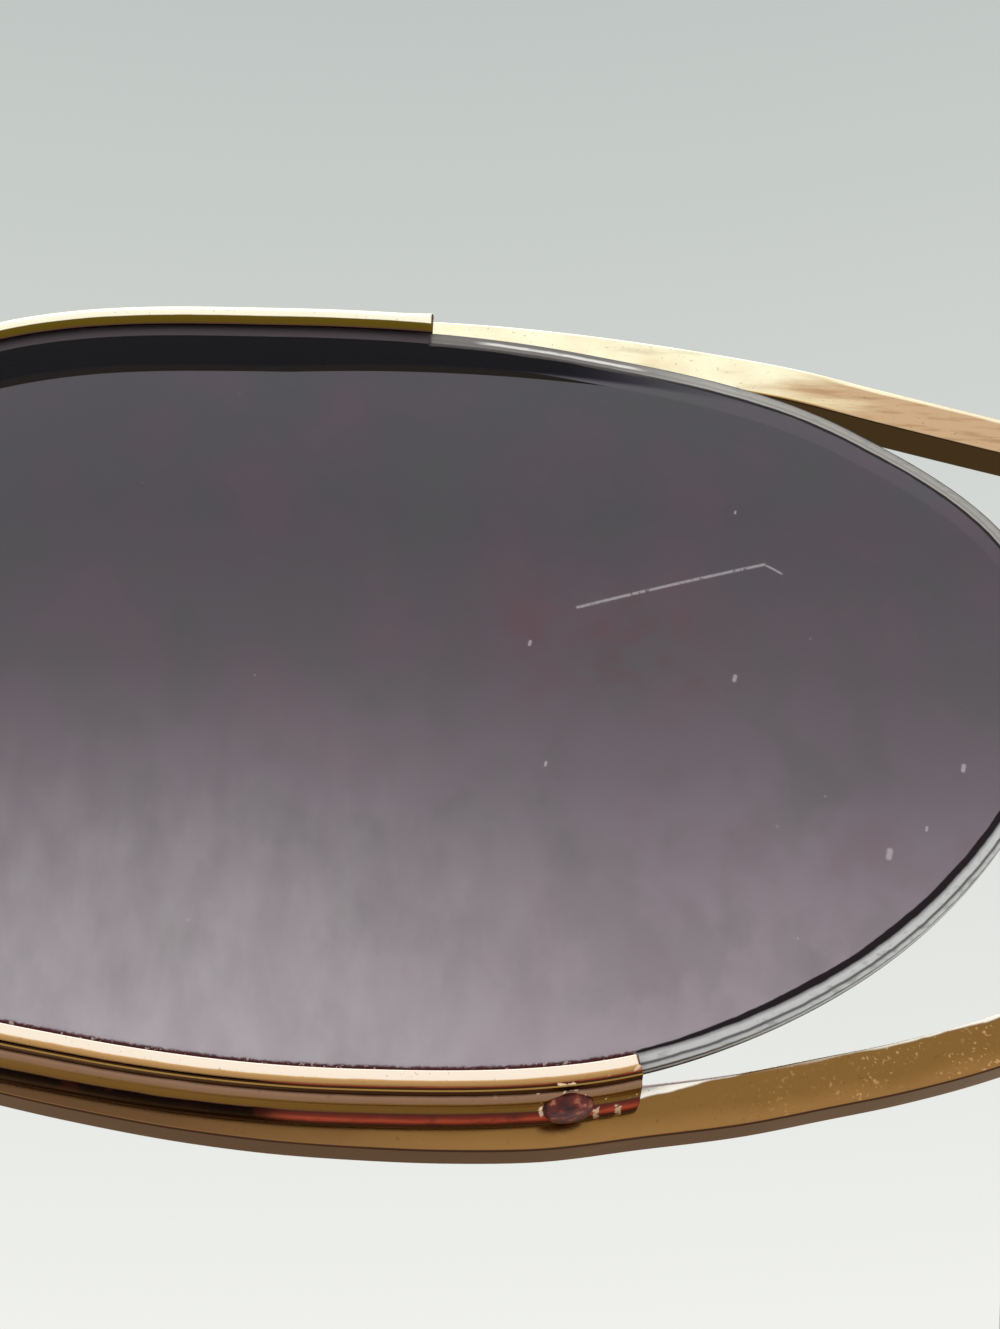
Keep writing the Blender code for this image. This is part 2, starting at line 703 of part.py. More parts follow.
def pad_frame():
    """The pad's own directions: towards the nose, along its width, and up its height."""
    toward = Vector((-1.0, 0.0, 0.0))
    turn = Matrix.Rotation(-pad_splay, 3, "Z") @ Matrix.Rotation(pad_frontal, 3, "Y")
    centre = Vector((pad_spread / 2, pad_back, front_level - pad_drop))
    frame = Matrix.Identity(4)
    for column, axis in enumerate((toward, Vector((0.0, -1.0, 0.0)), Vector((0.0, 0.0, 1.0)))):
        direction = turn @ axis
        for row in range(3):
            frame[row][column] = direction[row]
    frame.translation = centre
    return frame


def make_nose_pads():
    """A soft pad with a lug, pinned by a small screw in a cup on the end of a wire arm."""
    frame = pad_frame()
    lug_middle = -pad_thickness / 2 - pad_lug_length / 2
    pivot_local = Vector((lug_middle - 0.15 * MM, 0.0, 0.0))
    pivot = frame @ pivot_local

    mesh = bpy.data.meshes.new("nose_pad")
    work = bmesh.new()
    bmesh.ops.create_uvsphere(work, u_segments=20, v_segments=12, radius=0.5)
    bmesh.ops.scale(work, vec=(pad_thickness, pad_width, pad_height), verts=work.verts)
    work.to_mesh(mesh)
    work.free()
    lug = box_mesh((pad_lug_length + pad_thickness / 2, pad_lug_width, pad_lug_height),
                   (lug_middle + pad_thickness / 4 - 0.1 * MM, 0.0, 0.0))
    mesh = boolean(mesh, lug, "UNION")
    bore = cylinder_mesh(pad_screw_radius + screw_clearance, pad_width, pivot_local, 16, (0.0, 1.0, 0.0))
    mesh = boolean(mesh, bore)
    mesh.transform(frame)
    both_sides("nose_pad", mesh, silicone, pivot)

    inside_width = pad_lug_width + cup_side_gap * 2
    outside_width = inside_width + cup_wall * 2
    cup_length = pad_lug_length + cup_wall + 0.1 * MM
    cup_middle = pivot_local.x - cup_wall / 2 - 0.2 * MM
    body = box_mesh((cup_length, outside_width, pad_lug_height), (cup_middle, 0.0, 0.0))
    slot = box_mesh((cup_length, inside_width, pad_lug_height * 2), (cup_middle + cup_wall, 0.0, 0.0))
    mesh = boolean(body, slot)
    hole = cylinder_mesh(pad_screw_radius + screw_clearance, pad_width * 2, pivot_local, 16, (0.0, 1.0, 0.0))
    mesh = boolean(mesh, hole)
    mesh.transform(frame)
    both_sides("pad_cup", mesh, gold)

    head_gap = 0.05 * MM
    length = outside_width + head_gap
    mesh = headed_screw_mesh(pad_screw_radius, length, pad_screw_head_radius, pad_screw_head_height, 16)
    mesh.transform(Matrix.Rotation(math.radians(-90), 4, "X"))
    mesh.transform(Matrix.Translation((pivot_local.x, -outside_width / 2, 0.0)))
    mesh.transform(frame)
    both_sides("pad_screw", mesh, steel)

    cup_back = frame @ Vector((cup_middle - cup_length / 2 - seat_gap, 0.0, 0.0))
    away = (frame.to_3x3() @ Vector((-1.0, 0.0, 0.0))).normalized()
    root = nasal_place(-1.5 * MM, 0.0)
    root = Vector((root.x, root.y + rim_back * 0.5 + seat_gap * 2 + pad_arm_radius, root.z))
    turn = cup_back + away * pad_arm_lead * 1.9 + Vector((0.0, -pad_arm_radius, pad_arm_radius * 0.6))
    route = [cup_back, cup_back + away * pad_arm_lead, turn,
             root + Vector((pad_arm_reach, pad_arm_back, -pad_arm_fall)),
             root + Vector((pad_arm_reach * 0.39, pad_arm_back * 0.28, -pad_arm_fall * 0.33)), root]
    mesh = rail_mesh("pad_arm", smooth_path([tuple(point) for point in route], 22), pad_arm_radius, 2)
    both_sides("pad_arm", mesh, gold)


def centre_pieces():
    """Move the glasses along Y, so that the middle of their depth is over the origin."""
    bpy.context.view_layer.update()
    depths = [(piece.matrix_world @ vertex.co).y for piece in parts.objects for vertex in piece.data.vertices]
    for piece in parts.objects:
        piece.location.y -= (min(depths) + max(depths)) / 2


make_lenses()
make_rims()
make_rim_screws()
make_bars()
make_endpieces()
make_hinges()
make_temples()
make_bridge()
make_nose_pads()
centre_pieces()
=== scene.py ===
import json
import math

import bmesh
import bpy
import numpy as np
from mathutils import Matrix, Vector


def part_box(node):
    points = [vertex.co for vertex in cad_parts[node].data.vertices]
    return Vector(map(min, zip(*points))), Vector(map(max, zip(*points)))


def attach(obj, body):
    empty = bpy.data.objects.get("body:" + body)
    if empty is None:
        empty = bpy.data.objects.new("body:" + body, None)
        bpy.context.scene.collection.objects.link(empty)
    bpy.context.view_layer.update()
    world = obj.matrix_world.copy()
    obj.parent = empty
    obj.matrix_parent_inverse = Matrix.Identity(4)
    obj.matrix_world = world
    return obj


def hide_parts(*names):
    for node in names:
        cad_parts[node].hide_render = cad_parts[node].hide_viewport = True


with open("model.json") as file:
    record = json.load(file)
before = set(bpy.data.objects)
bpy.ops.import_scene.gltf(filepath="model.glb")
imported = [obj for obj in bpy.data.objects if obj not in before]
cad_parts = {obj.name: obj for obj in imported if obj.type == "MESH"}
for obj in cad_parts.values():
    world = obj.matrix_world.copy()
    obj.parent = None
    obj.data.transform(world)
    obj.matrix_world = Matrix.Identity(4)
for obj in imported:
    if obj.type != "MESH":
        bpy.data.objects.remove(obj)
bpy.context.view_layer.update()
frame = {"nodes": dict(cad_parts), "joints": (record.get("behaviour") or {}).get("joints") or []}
print("Frame loaded, with", len(frame["nodes"]), "nodes")

# Semi-rimless eyeglasses. The wearer's left side is at +X and is made first, the right side is its mirror.
# Sizes are in millimetres until a mesh is placed, and a mesh is in metres.
mm = 0.001
sides = ("left", "right")
joints = {joint["name"]: joint for joint in frame["joints"]}


# Small helpers for colours, node trees and meshes

def tone(red, green, blue):
    linear = [c / 12.92 if c <= 0.04045 else ((c + 0.055) / 1.055) ** 2.4
              for c in (red / 255, green / 255, blue / 255)]
    return (*linear, 1.0)


# A value in a node tree. Sums, products and the like of it are Math nodes of the same tree.
class Value:
    def __init__(self, socket):
        self.socket = socket

    def __abs__(self):
        return addMath("ABSOLUTE", self)

    def __add__(self, other):
        return addMath("ADD", self, other)

    def __sub__(self, other):
        return addMath("SUBTRACT", self, other)

    def __rsub__(self, other):
        return addMath("SUBTRACT", other, self)

    def __mul__(self, other):
        return addMath("MULTIPLY", self, other)

    def __truediv__(self, other):
        return addMath("DIVIDE", self, other)


# Each input is a number or a colour, or else a value, a socket or a node to link from
def setInputs(node, inputs):
    for name, given in inputs.items():
        if isinstance(given, Value):
            given = given.socket
        elif isinstance(given, bpy.types.Node):
            given = given.outputs[0]
        if isinstance(given, bpy.types.NodeSocket):
            node.id_data.links.new(given, node.inputs[name])
        else:
            node.inputs[name].default_value = given


def addNode(tree, kind, inputs=None, **settings):
    made = tree.nodes.new(kind)
    for name, setting in settings.items():
        setattr(made, name, setting)
    setInputs(made, inputs or {})
    return made


def addValue(tree, kind, inputs=None, output=0, **settings):
    return Value(addNode(tree, kind, inputs, **settings).outputs[output])


def addMath(operation, *values, **settings):
    tree = next(value for value in values if isinstance(value, Value)).socket.id_data
    return addValue(tree, "ShaderNodeMath", dict(enumerate(values)), operation=operation, **settings)


def highest(first, second):
    return addMath("MAXIMUM", first, second)


def axisOf(vector, axis):
    return addValue(vector.socket.id_data, "ShaderNodeSeparateXYZ", {0: vector}, axis)


# A value's run from start to end, turned into a run from low to high
def mapped(value, start, end, low=0.0, high=1.0, **settings):
    inputs = {0: value, 1: start, 2: end, 3: low, 4: high}
    return addValue(value.socket.id_data, "ShaderNodeMapRange", inputs, **settings)


# A soft climb from 0 to 1 between two places
def step(value, start, end):
    return mapped(value, start, end, interpolation_type="SMOOTHSTEP")


# One inside a stretch of a value, with soft ends
def within(value, start, end, soft):
    return step(value, start - soft, start + soft) * (1.0 - step(value, end - soft, end + soft))


# Colours along a value, each at its own place
def ramp(value, stops):
    first, last = stops[0][0], stops[-1][0]
    made = addNode(value.socket.id_data, "ShaderNodeValToRGB", {0: mapped(value, first, last)})
    elements = made.color_ramp.elements
    elements.remove(elements[1])
    elements[0].position = 0.0
    elements[0].color = stops[0][1]
    for place, colour in stops[1:]:
        elements.new((place - first) / (last - first)).color = colour
    return Value(made.outputs[0])


def mix(share, first, second):
    inputs = {0: share, 6: first, 7: second}
    return addValue(share.socket.id_data, "ShaderNodeMix", inputs, 2, data_type="RGBA")


# A stain over a colour: the stain's own colour, where in a noise it starts and is full, and its amount
def stained(colour, noise, stain, *limits):
    own, start, full, amount = stain
    share = step(noise, start, full) * amount
    for limit in limits:
        share = share * limit
    return mix(share, colour, own)


# The distance from a straight line between two places, each as across and up
def distance(across, up, start, end):
    run = (end[0] - start[0], end[1] - start[1])
    square = run[0] ** 2 + run[1] ** 2
    fromStart = [value - place for value, place in zip((across, up), start)]
    along = [value * (part / square) for value, part in zip(fromStart, run)]
    share = addMath("ADD", *along, use_clamp=True)
    away = [value - share * part for value, part in zip(fromStart, run)]
    return addMath("SQRT", away[0] * away[0] + away[1] * away[1])


# A new material, with what its pattern starts from
class Surface:
    def __init__(self, name):
        self.material = bpy.data.materials.new(name)
        self.material.use_nodes = True
        self.tree = self.material.node_tree
        self.shader = self.tree.nodes["Principled BSDF"]
        coordinates = addNode(self.tree, "ShaderNodeTexCoord").outputs
        self.place = Value(coordinates["Object"])
        self.normal = Value(coordinates["Normal"])

    def inMillimetres(self, axis):
        return axisOf(self.place, axis) / mm

    def attribute(self, name):
        return addValue(self.tree, "ShaderNodeAttribute", output="Fac", attribute_name=name)

    # A noise is its scale, its detail and how far it is stretched along each axis
    def noise(self, scale, detail=3.0, stretch=(1.0, 1.0, 1.0)):
        turned = addNode(self.tree, "ShaderNodeMapping", {"Vector": self.place, "Scale": stretch})
        return addValue(self.tree, "ShaderNodeTexNoise", {"Vector": turned, "Scale": scale, "Detail": detail})

    def noises(self, named):
        return {name: self.noise(*settings) for name, settings in named.items()}

    def bump(self, height, strength, depth):
        inputs = {"Height": height, "Strength": strength, "Distance": depth}
        return addNode(self.tree, "ShaderNodeBump", inputs)


# Evenly spaced points on a smooth curve through the given ones
def smoothPath(points, count, closed=False):
    given = np.array(points, dtype=float)
    total = len(given)
    slopes = np.zeros_like(given)
    for index in range(total):
        if closed or 0 < index < total - 1:
            runIn = given[index] - given[index - 1]
            runOut = given[(index + 1) % total] - given[index]
            lengthIn, lengthOut = np.linalg.norm(runIn), np.linalg.norm(runOut)
            slopes[index] = runIn / lengthIn * lengthOut + runOut / lengthOut * lengthIn
            slopes[index] /= lengthIn + lengthOut
    if not closed:
        slopes[0] = (given[1] - given[0]) / np.linalg.norm(given[1] - given[0])
        slopes[-1] = (given[-1] - given[-2]) / np.linalg.norm(given[-1] - given[-2])
    t = np.linspace(0.0, 1.0, 60, endpoint=False)[:, None]
    fine = []
    for index in range(total if closed else total - 1):
        after = (index + 1) % total
        run = np.linalg.norm(given[after] - given[index])
        fine.append((2 * t**3 - 3 * t**2 + 1) * given[index] + (t**3 - 2 * t**2 + t) * run * slopes[index]
                    + (3 * t**2 - 2 * t**3) * given[after] + (t**3 - t**2) * run * slopes[after])
    fine.append(given[:1] if closed else given[-1:])
    fine = np.concatenate(fine)
    return pointsAt(fine, np.linspace(0.0, pathLengths(fine)[-1], count, endpoint=not closed))


def pathLengths(path):
    return np.concatenate([[0.0], np.cumsum(np.linalg.norm(np.diff(path, axis=0), axis=1))])


def pointsAt(path, places):
    lengths = pathLengths(path)
    return np.stack([np.interp(places, lengths, path[:, axis]) for axis in range(path.shape[1])], axis=1)


# The path moved to its right by a distance, which may differ from point to point
def offsetPath(path, distance, closed=False):
    tangents = np.roll(path, -1, axis=0) - np.roll(path, 1, axis=0) if closed else np.gradient(path, axis=0)
    tangents = tangents / np.linalg.norm(tangents, axis=1)[:, None]
    across = np.stack([tangents[:, 1], -tangents[:, 0]], axis=1)
    return path + across * np.broadcast_to(np.asarray(distance), (len(path),))[:, None]


# Places along a path with extra ones near both ends, and how far the section draws in at each
def roundEnds(path, radius):
    lengths = pathLengths(path)
    turn = np.radians((0.0, 30.0, 60.0, 90.0))
    near = radius * (1 - np.cos(turn))
    drawn = radius * (1 - np.sin(turn))
    inside = lengths[(lengths > radius * 1.6) & (lengths < lengths[-1] - radius * 1.6)]
    places = np.concatenate([near, inside, lengths[-1] - near[::-1]])
    return places, np.concatenate([drawn, np.zeros(len(inside)), drawn[::-1]])


# A rectangle with round corners, centred, as points from its right side round its top
def roundedBox(width, height, radius, steps=4):
    points = []
    for index, (sx, sy) in enumerate(((1, 1), (-1, 1), (-1, -1), (1, -1))):
        for turn in np.radians(np.linspace(0, 90, steps) + 90 * index):
            points.append((sx * (width / 2 - radius) + radius * math.cos(turn),
                           sy * (height / 2 - radius) + radius * math.sin(turn)))
    return np.array(points)


# The same with points close beside each corner, so that its sides look flat
def flatSidedBox(width, height, radius, steps=4, beside=0.05):
    points = roundedBox(width, height, radius, steps)
    full = []
    for index in range(4):
        corner = points[index * steps:(index + 1) * steps]
        after = points[(index + 1) * steps % len(points)]
        before = points[index * steps - 1]
        ends = []
        for start, end in ((corner[0], before), (corner[-1], after)):
            run = np.linalg.norm(end - start)
            ends.append(start + (end - start) / run * min(beside, run * 0.3))
        full.append(np.vstack([ends[0], corner, ends[1]]))
    return np.concatenate(full)


# Points on an oval whose corners fill out as its power grows
def squareOval(halfWidth, halfHeight, power, count):
    turn = np.linspace(0.0, 2 * math.pi, count, endpoint=False)
    c, s = np.cos(turn), np.sin(turn)
    return np.stack([halfWidth * np.sign(c) * np.abs(c) ** (2 / power),
                     halfHeight * np.sign(s) * np.abs(s) ** (2 / power)], axis=1)


# Welds what lies closer than a distance in metres, and turns the faces outwards
def closeMesh(mesh, smoothAngle=30.0, weld=0.0000004):
    work = bmesh.new()
    work.from_mesh(mesh)
    bmesh.ops.remove_doubles(work, verts=work.verts, dist=weld)
    bmesh.ops.dissolve_degenerate(work, dist=weld / 4, edges=work.edges)
    bmesh.ops.recalc_face_normals(work, faces=work.faces)
    if work.calc_volume(signed=True) < 0:
        bmesh.ops.reverse_faces(work, faces=work.faces)
    work.to_mesh(mesh)
    work.free()
    mesh.shade_smooth()
    mesh.set_sharp_from_angle(angle=math.radians(smoothAngle))
    return mesh


# A closed skin through rings of equal length, in metres. A value is a number for every ring or every point.
def loftMesh(name, rings, values=None, fans=False, smoothAngle=30.0):
    rings = np.asarray(rings, dtype=float)
    count, around = rings.shape[:2]
    points = rings.reshape(-1, 3)
    here = np.arange(around)
    after = np.roll(here, -1)
    faces = []
    for low in range(0, (count - 1) * around, around):
        high = low + around
        faces += np.stack([low + here, low + after, high + after, high + here], 1).tolist()
    last = (count - 1) * around
    if fans:
        points = np.concatenate([points, [rings[0].mean(0)], [rings[-1].mean(0)]])
        faces += [(a, b, count * around) for a, b in zip(here.tolist(), after.tolist())]
        faces += [(last + a, last + b, count * around + 1) for a, b in zip(here.tolist(), after.tolist())]
    else:
        faces += [here.tolist(), (last + here).tolist()]
    mesh = bpy.data.meshes.new(name)
    mesh.from_pydata(points.tolist(), [], faces)
    for key, numbers in (values or {}).items():
        numbers = np.asarray(numbers, dtype=float)
        if numbers.ndim == 1:
            numbers = numbers[:, None]
        spread = np.broadcast_to(numbers, (count, around)).reshape(-1)
        if fans:
            spread = np.concatenate([spread, [spread[0], spread[-1]]])
        mesh.attributes.new(key, "FLOAT", "POINT").data.foreach_set("value", spread.astype(np.float32))
    return closeMesh(mesh, smoothAngle)


def mirroredMesh(mesh):
    other = mesh.copy()
    other.transform(Matrix.Scale(-1.0, 4, (1.0, 0.0, 0.0)))
    other.flip_normals()
    return other


def dress(name, mesh, finish, body, slot, *nodes):
    piece = bpy.data.objects.new(name, mesh)
    bpy.context.scene.collection.objects.link(piece)
    mesh.materials.clear()
    mesh.materials.append(finish)
    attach(piece, body)
    if nodes:
        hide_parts(*nodes)
    return piece


# The left piece and its mirror. Each stands for the node of its own side, and rides on its own side's body.
def dressBoth(name, mesh, finish, slot, node, body="frame"):
    for side, made in zip(sides, (mesh, mirroredMesh(mesh))):
        ownBody = body if body == "frame" else f"{body}_{side}"
        dress(f"{side}{name}", made, finish, ownBody, slot, f"{node}_{side}")


# The camera and the light

camera = {"fromLens": (5.02, -77.56, -45.3), "climb": 30.0, "roll": -2.0, "lens": 67.72, "sensor": 36.0}
light = {
    "low": tone(240, 241, 237), "high": tone(192, 198, 195), "lowAt": 0.26, "highAt": 0.707,
    "front": tone(253, 252, 248), "ambient": 0.7, "floor": tone(236, 238, 235),
    "floorSize": 12.0, "floorDrop": 0.0001, "floorRoughness": 0.8,
    "fade": (0.22, 1.1),   # the floor turns to the world's colour between these distances
}
lamps = {   # place, size and watts, each out of what the lens mirrors in the photograph
    "overheadLamp": ((0.0, -0.06, 0.65), 0.6, 1.2),
    "leftLamp": ((-0.6, -0.12, 0.35), 0.3, 0.5),
    "rightLamp": ((0.62, 0.22, 0.35), 0.3, 0.4),
}


# The lenses: a dome with a polished facet and edge, wrapped a little round the face

lens = {
    "width": 54.0, "height": 30.4, "thickness": 1.6, "frontRadius": 112.0, "edgeReach": 0.75,
    "facetDepth": 0.2, "edgeFlat": 0.5, "wrap": 5.0, "around": 240, "domeRings": 20,
    # Shares of half the width and half the height
    "outline": (
        (0.985, 0.08), (0.93, 0.46), (0.715, 0.752), (0.32, 0.935), (-0.11, 0.995),
        (-0.52, 0.97), (-0.84, 0.72), (-0.99, 0.21), (-0.91, -0.35), (-0.622, -0.755),
        (-0.345, -0.907), (-0.012, -0.986), (0.368, -0.935), (0.71, -0.616), (0.888, -0.262),
    ),
}


def scaledPoints(points):
    return [(x * lens["width"] / 2, z * lens["height"] / 2) for x, z in points]


def lensOutline(count):
    return smoothPath(scaledPoints(lens["outline"]), count, closed=True)


def domeFall(across, up):
    return (across**2 + up**2) / (2 * lens["frontRadius"])


# Points on the flat front as across, up and forward, bent by their fall and turned to the face
def frontTurn(points, fall=domeFall):
    across, up, forward = np.moveaxis(np.asarray(points, dtype=float), -1, 0)
    forward = forward - fall(across, up)
    turn = math.radians(lens["wrap"])
    return np.stack([across * math.cos(turn) + forward * math.sin(turn),
                     across * math.sin(turn) - forward * math.cos(turn), up], axis=-1)


def frontPlace(points, fall=domeFall):
    return (frontTurn(points, fall) + frontShift) * mm


def withDepth(ring, forward):
    return np.column_stack([ring, np.full(len(ring), forward)])


# Where the front stands: the CAD lens's box against that of the same lens at the origin
def findFront():
    outline = lensOutline(72)
    edge = offsetPath(outline, lens["edgeReach"], closed=True)
    rings = [withDepth(edge, -lens["facetDepth"]), withDepth(edge, -lens["facetDepth"] - lens["edgeFlat"]),
             withDepth(outline, -lens["thickness"])]
    own = frontTurn(np.concatenate(rings))
    most, least = own.max(axis=0), own.min(axis=0)
    low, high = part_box("lens_left")
    return np.array([high.x / mm - most[0], high.y / mm - most[1], low.z / mm - least[2]])


frontShift = findFront()
frontLevel = frontShift[2]
lensMiddle = frontShift[0]
print("Front stands at", np.round(frontShift, 3))


lensLook = {
    # Tint from the bottom to the top, as a height over the middle of the lens
    "tint": ((-16.0, tone(182, 168, 178)), (-10.0, tone(157, 143, 153)), (-4.0, tone(126, 114, 124)),
             (1.0, tone(107, 98, 106)), (7.0, tone(97, 90, 99)), (16.0, tone(106, 101, 110))),
    "noises": {
        "cloud": (90.0, 4.0, (1.0, 1.0, 0.5)), "blotches": (300.0, 5.0, (1.0, 1.0, 0.8)),
        "grain": (620.0, 5.0), "streaks": (900.0, 6.0, (1.0, 1.0, 0.45)), "wear": (5200.0, 2.0),
        "dust": (3300.0, 1.0), "drag": (1500.0, 3.0), "fine": (4200.0, 2.0, (0.25, 1.0, 1.0)),
        "wander": (700.0, 4.0),
    },
    "cloudLift": 5.0,
    "mauve": (tone(126, 96, 110), 0.50, 0.66, 0.26), "moss": (tone(92, 97, 94), 0.50, 0.36, 0.30),
    "rust": (tone(118, 80, 86), 0.42, 0.68, 0.5), "rustPatch": (44.5, 18.6, 4.6),
    "seenThroughLight": tone(204, 196, 202), "seenThroughLightUp": (-15.0, 1.0), "seenThroughLightOut": (30.0, 48.0), "seenThroughLightShares": (0.26, 0.40),
    # Bands over the bare edge, in millimetres out from the face and then back over the edge. Their pale bands
    # are painted light bent through the facet and edge, and their dark lines are painted shade.
    "lowBands": ((-0.12, tone(30, 20, 26)), (0.19, tone(26, 16, 22)), (0.25, tone(176, 174, 176)),
                 (0.34, tone(228, 227, 227)), (0.49, tone(232, 231, 231)), (0.54, tone(112, 111, 113)),
                 (0.58, tone(114, 113, 115)), (0.63, tone(214, 213, 213)), (0.71, tone(226, 225, 225)),
                 (0.76, tone(66, 65, 66)), (0.87, tone(68, 67, 68)), (0.92, tone(200, 199, 198)),
                 (1.04, tone(190, 189, 188)), (1.09, tone(44, 42, 44)), (1.26, tone(44, 42, 44))),
    "highBands": ((-0.12, tone(70, 66, 68)), (-0.05, tone(34, 33, 33)), (0.05, tone(34, 33, 33)),
                  (0.11, tone(196, 192, 186)), (0.26, tone(160, 156, 151)), (0.42, tone(192, 188, 182)),
                  (0.67, tone(170, 167, 162)), (0.73, tone(50, 52, 50)), (1.26, tone(84, 84, 84))),
    "edgeWaver": 0.07, "edgeWander": 0.16, "edgeEnd": (1.30, 1.38),
    "shade": tone(96, 90, 86), "shadeOut": (44.0, 50.0), "shadeShare": 0.75,
    "edgeGrain": (tone(120, 120, 118), 0.5, 0.7, 0.35), "edgeGrainFrom": (0.3, 0.4),
    "glint": tone(248, 246, 240), "glintOut": (40.2, 46.3, 0.5), "glintBand": (0.30, 0.48, 0.05),
    # Where the painted dark shade band under the bare edge starts: it grows away from the rim's end
    "bandGrowsOut": (44.0, 50.0), "lowBandStart": (0.14, -0.04), "highBandStart": -0.10,
    # The edge under the rim, with a painted shadow line at the lower lip
    "lipShadow": tone(88, 34, 36), "lipSpeck": tone(214, 196, 190), "lipBand": (0.11, 1.3, 0.05),
    "underRim": tone(98, 89, 93), "heldBand": (0.0, 1.34, 0.02),
    # The back of the edge, where the rim's channel shows through it: a painted dark band stands for the
    # shaded channel and bar seen through the lens
    "navyShade": tone(8, 4, 54), "navyUp": (5.0, 8.0), "navyEdge": (1.34, 1.46), "navyFades": (42.5, 51.0),
    "backEdgeOut": (32.0, 51.0), "backEdge": (3.16, 1.85),
    # Marks on the left lens, as x and height. A scratch also has its width, and a speck its reach.
    "scratches": (((43.35, 19.57), (50.53, 22.06), 0.06), ((50.53, 22.06), (51.15, 21.71), 0.05)),
    "specks": ((41.53, 17.94, 0.07), (48.98, 16.92, 0.09), (41.91, 13.04, 0.06), (54.09, 10.29, 0.13),
               (55.6, 11.4, 0.06), (57.3, 14.0, 0.10), (49.6, 24.4, 0.05)),
    "mark": tone(214, 206, 210), "markShare": 0.75,
    "dark": tone(40, 30, 34), "darkMark": (33.91, 30.81, 0.16), "darkShare": 0.8,
    "solid": (0.92, 0.7, 0.9),   # how far the bare edge, the marks and the held edge let nothing through
    "roughness": 0.015, "edgeRoughness": 0.15,
    "index": 1.2,   # lower than glass, as the lens is coated and mirrors little
}


# Scratches and specks on the face, with fine dust
def addLensMarks(x, z, noise):
    marks = step(noise["dust"], 0.80, 0.84) * 0.5
    for start, end, width in lensLook["scratches"]:
        near = distance(x, z, start, end)
        marks = highest(marks, step(near, width * 1.6, width * 0.4) * step(noise["wear"], 0.22, 0.46))
    for speckX, speckZ, reach in lensLook["specks"]:
        lean = reach * 0.3
        near = distance(x, z, (speckX - lean, speckZ - reach), (speckX + lean, speckZ + reach))
        marks = highest(marks, step(near, reach * 1.3, reach * 0.4))
    return marks


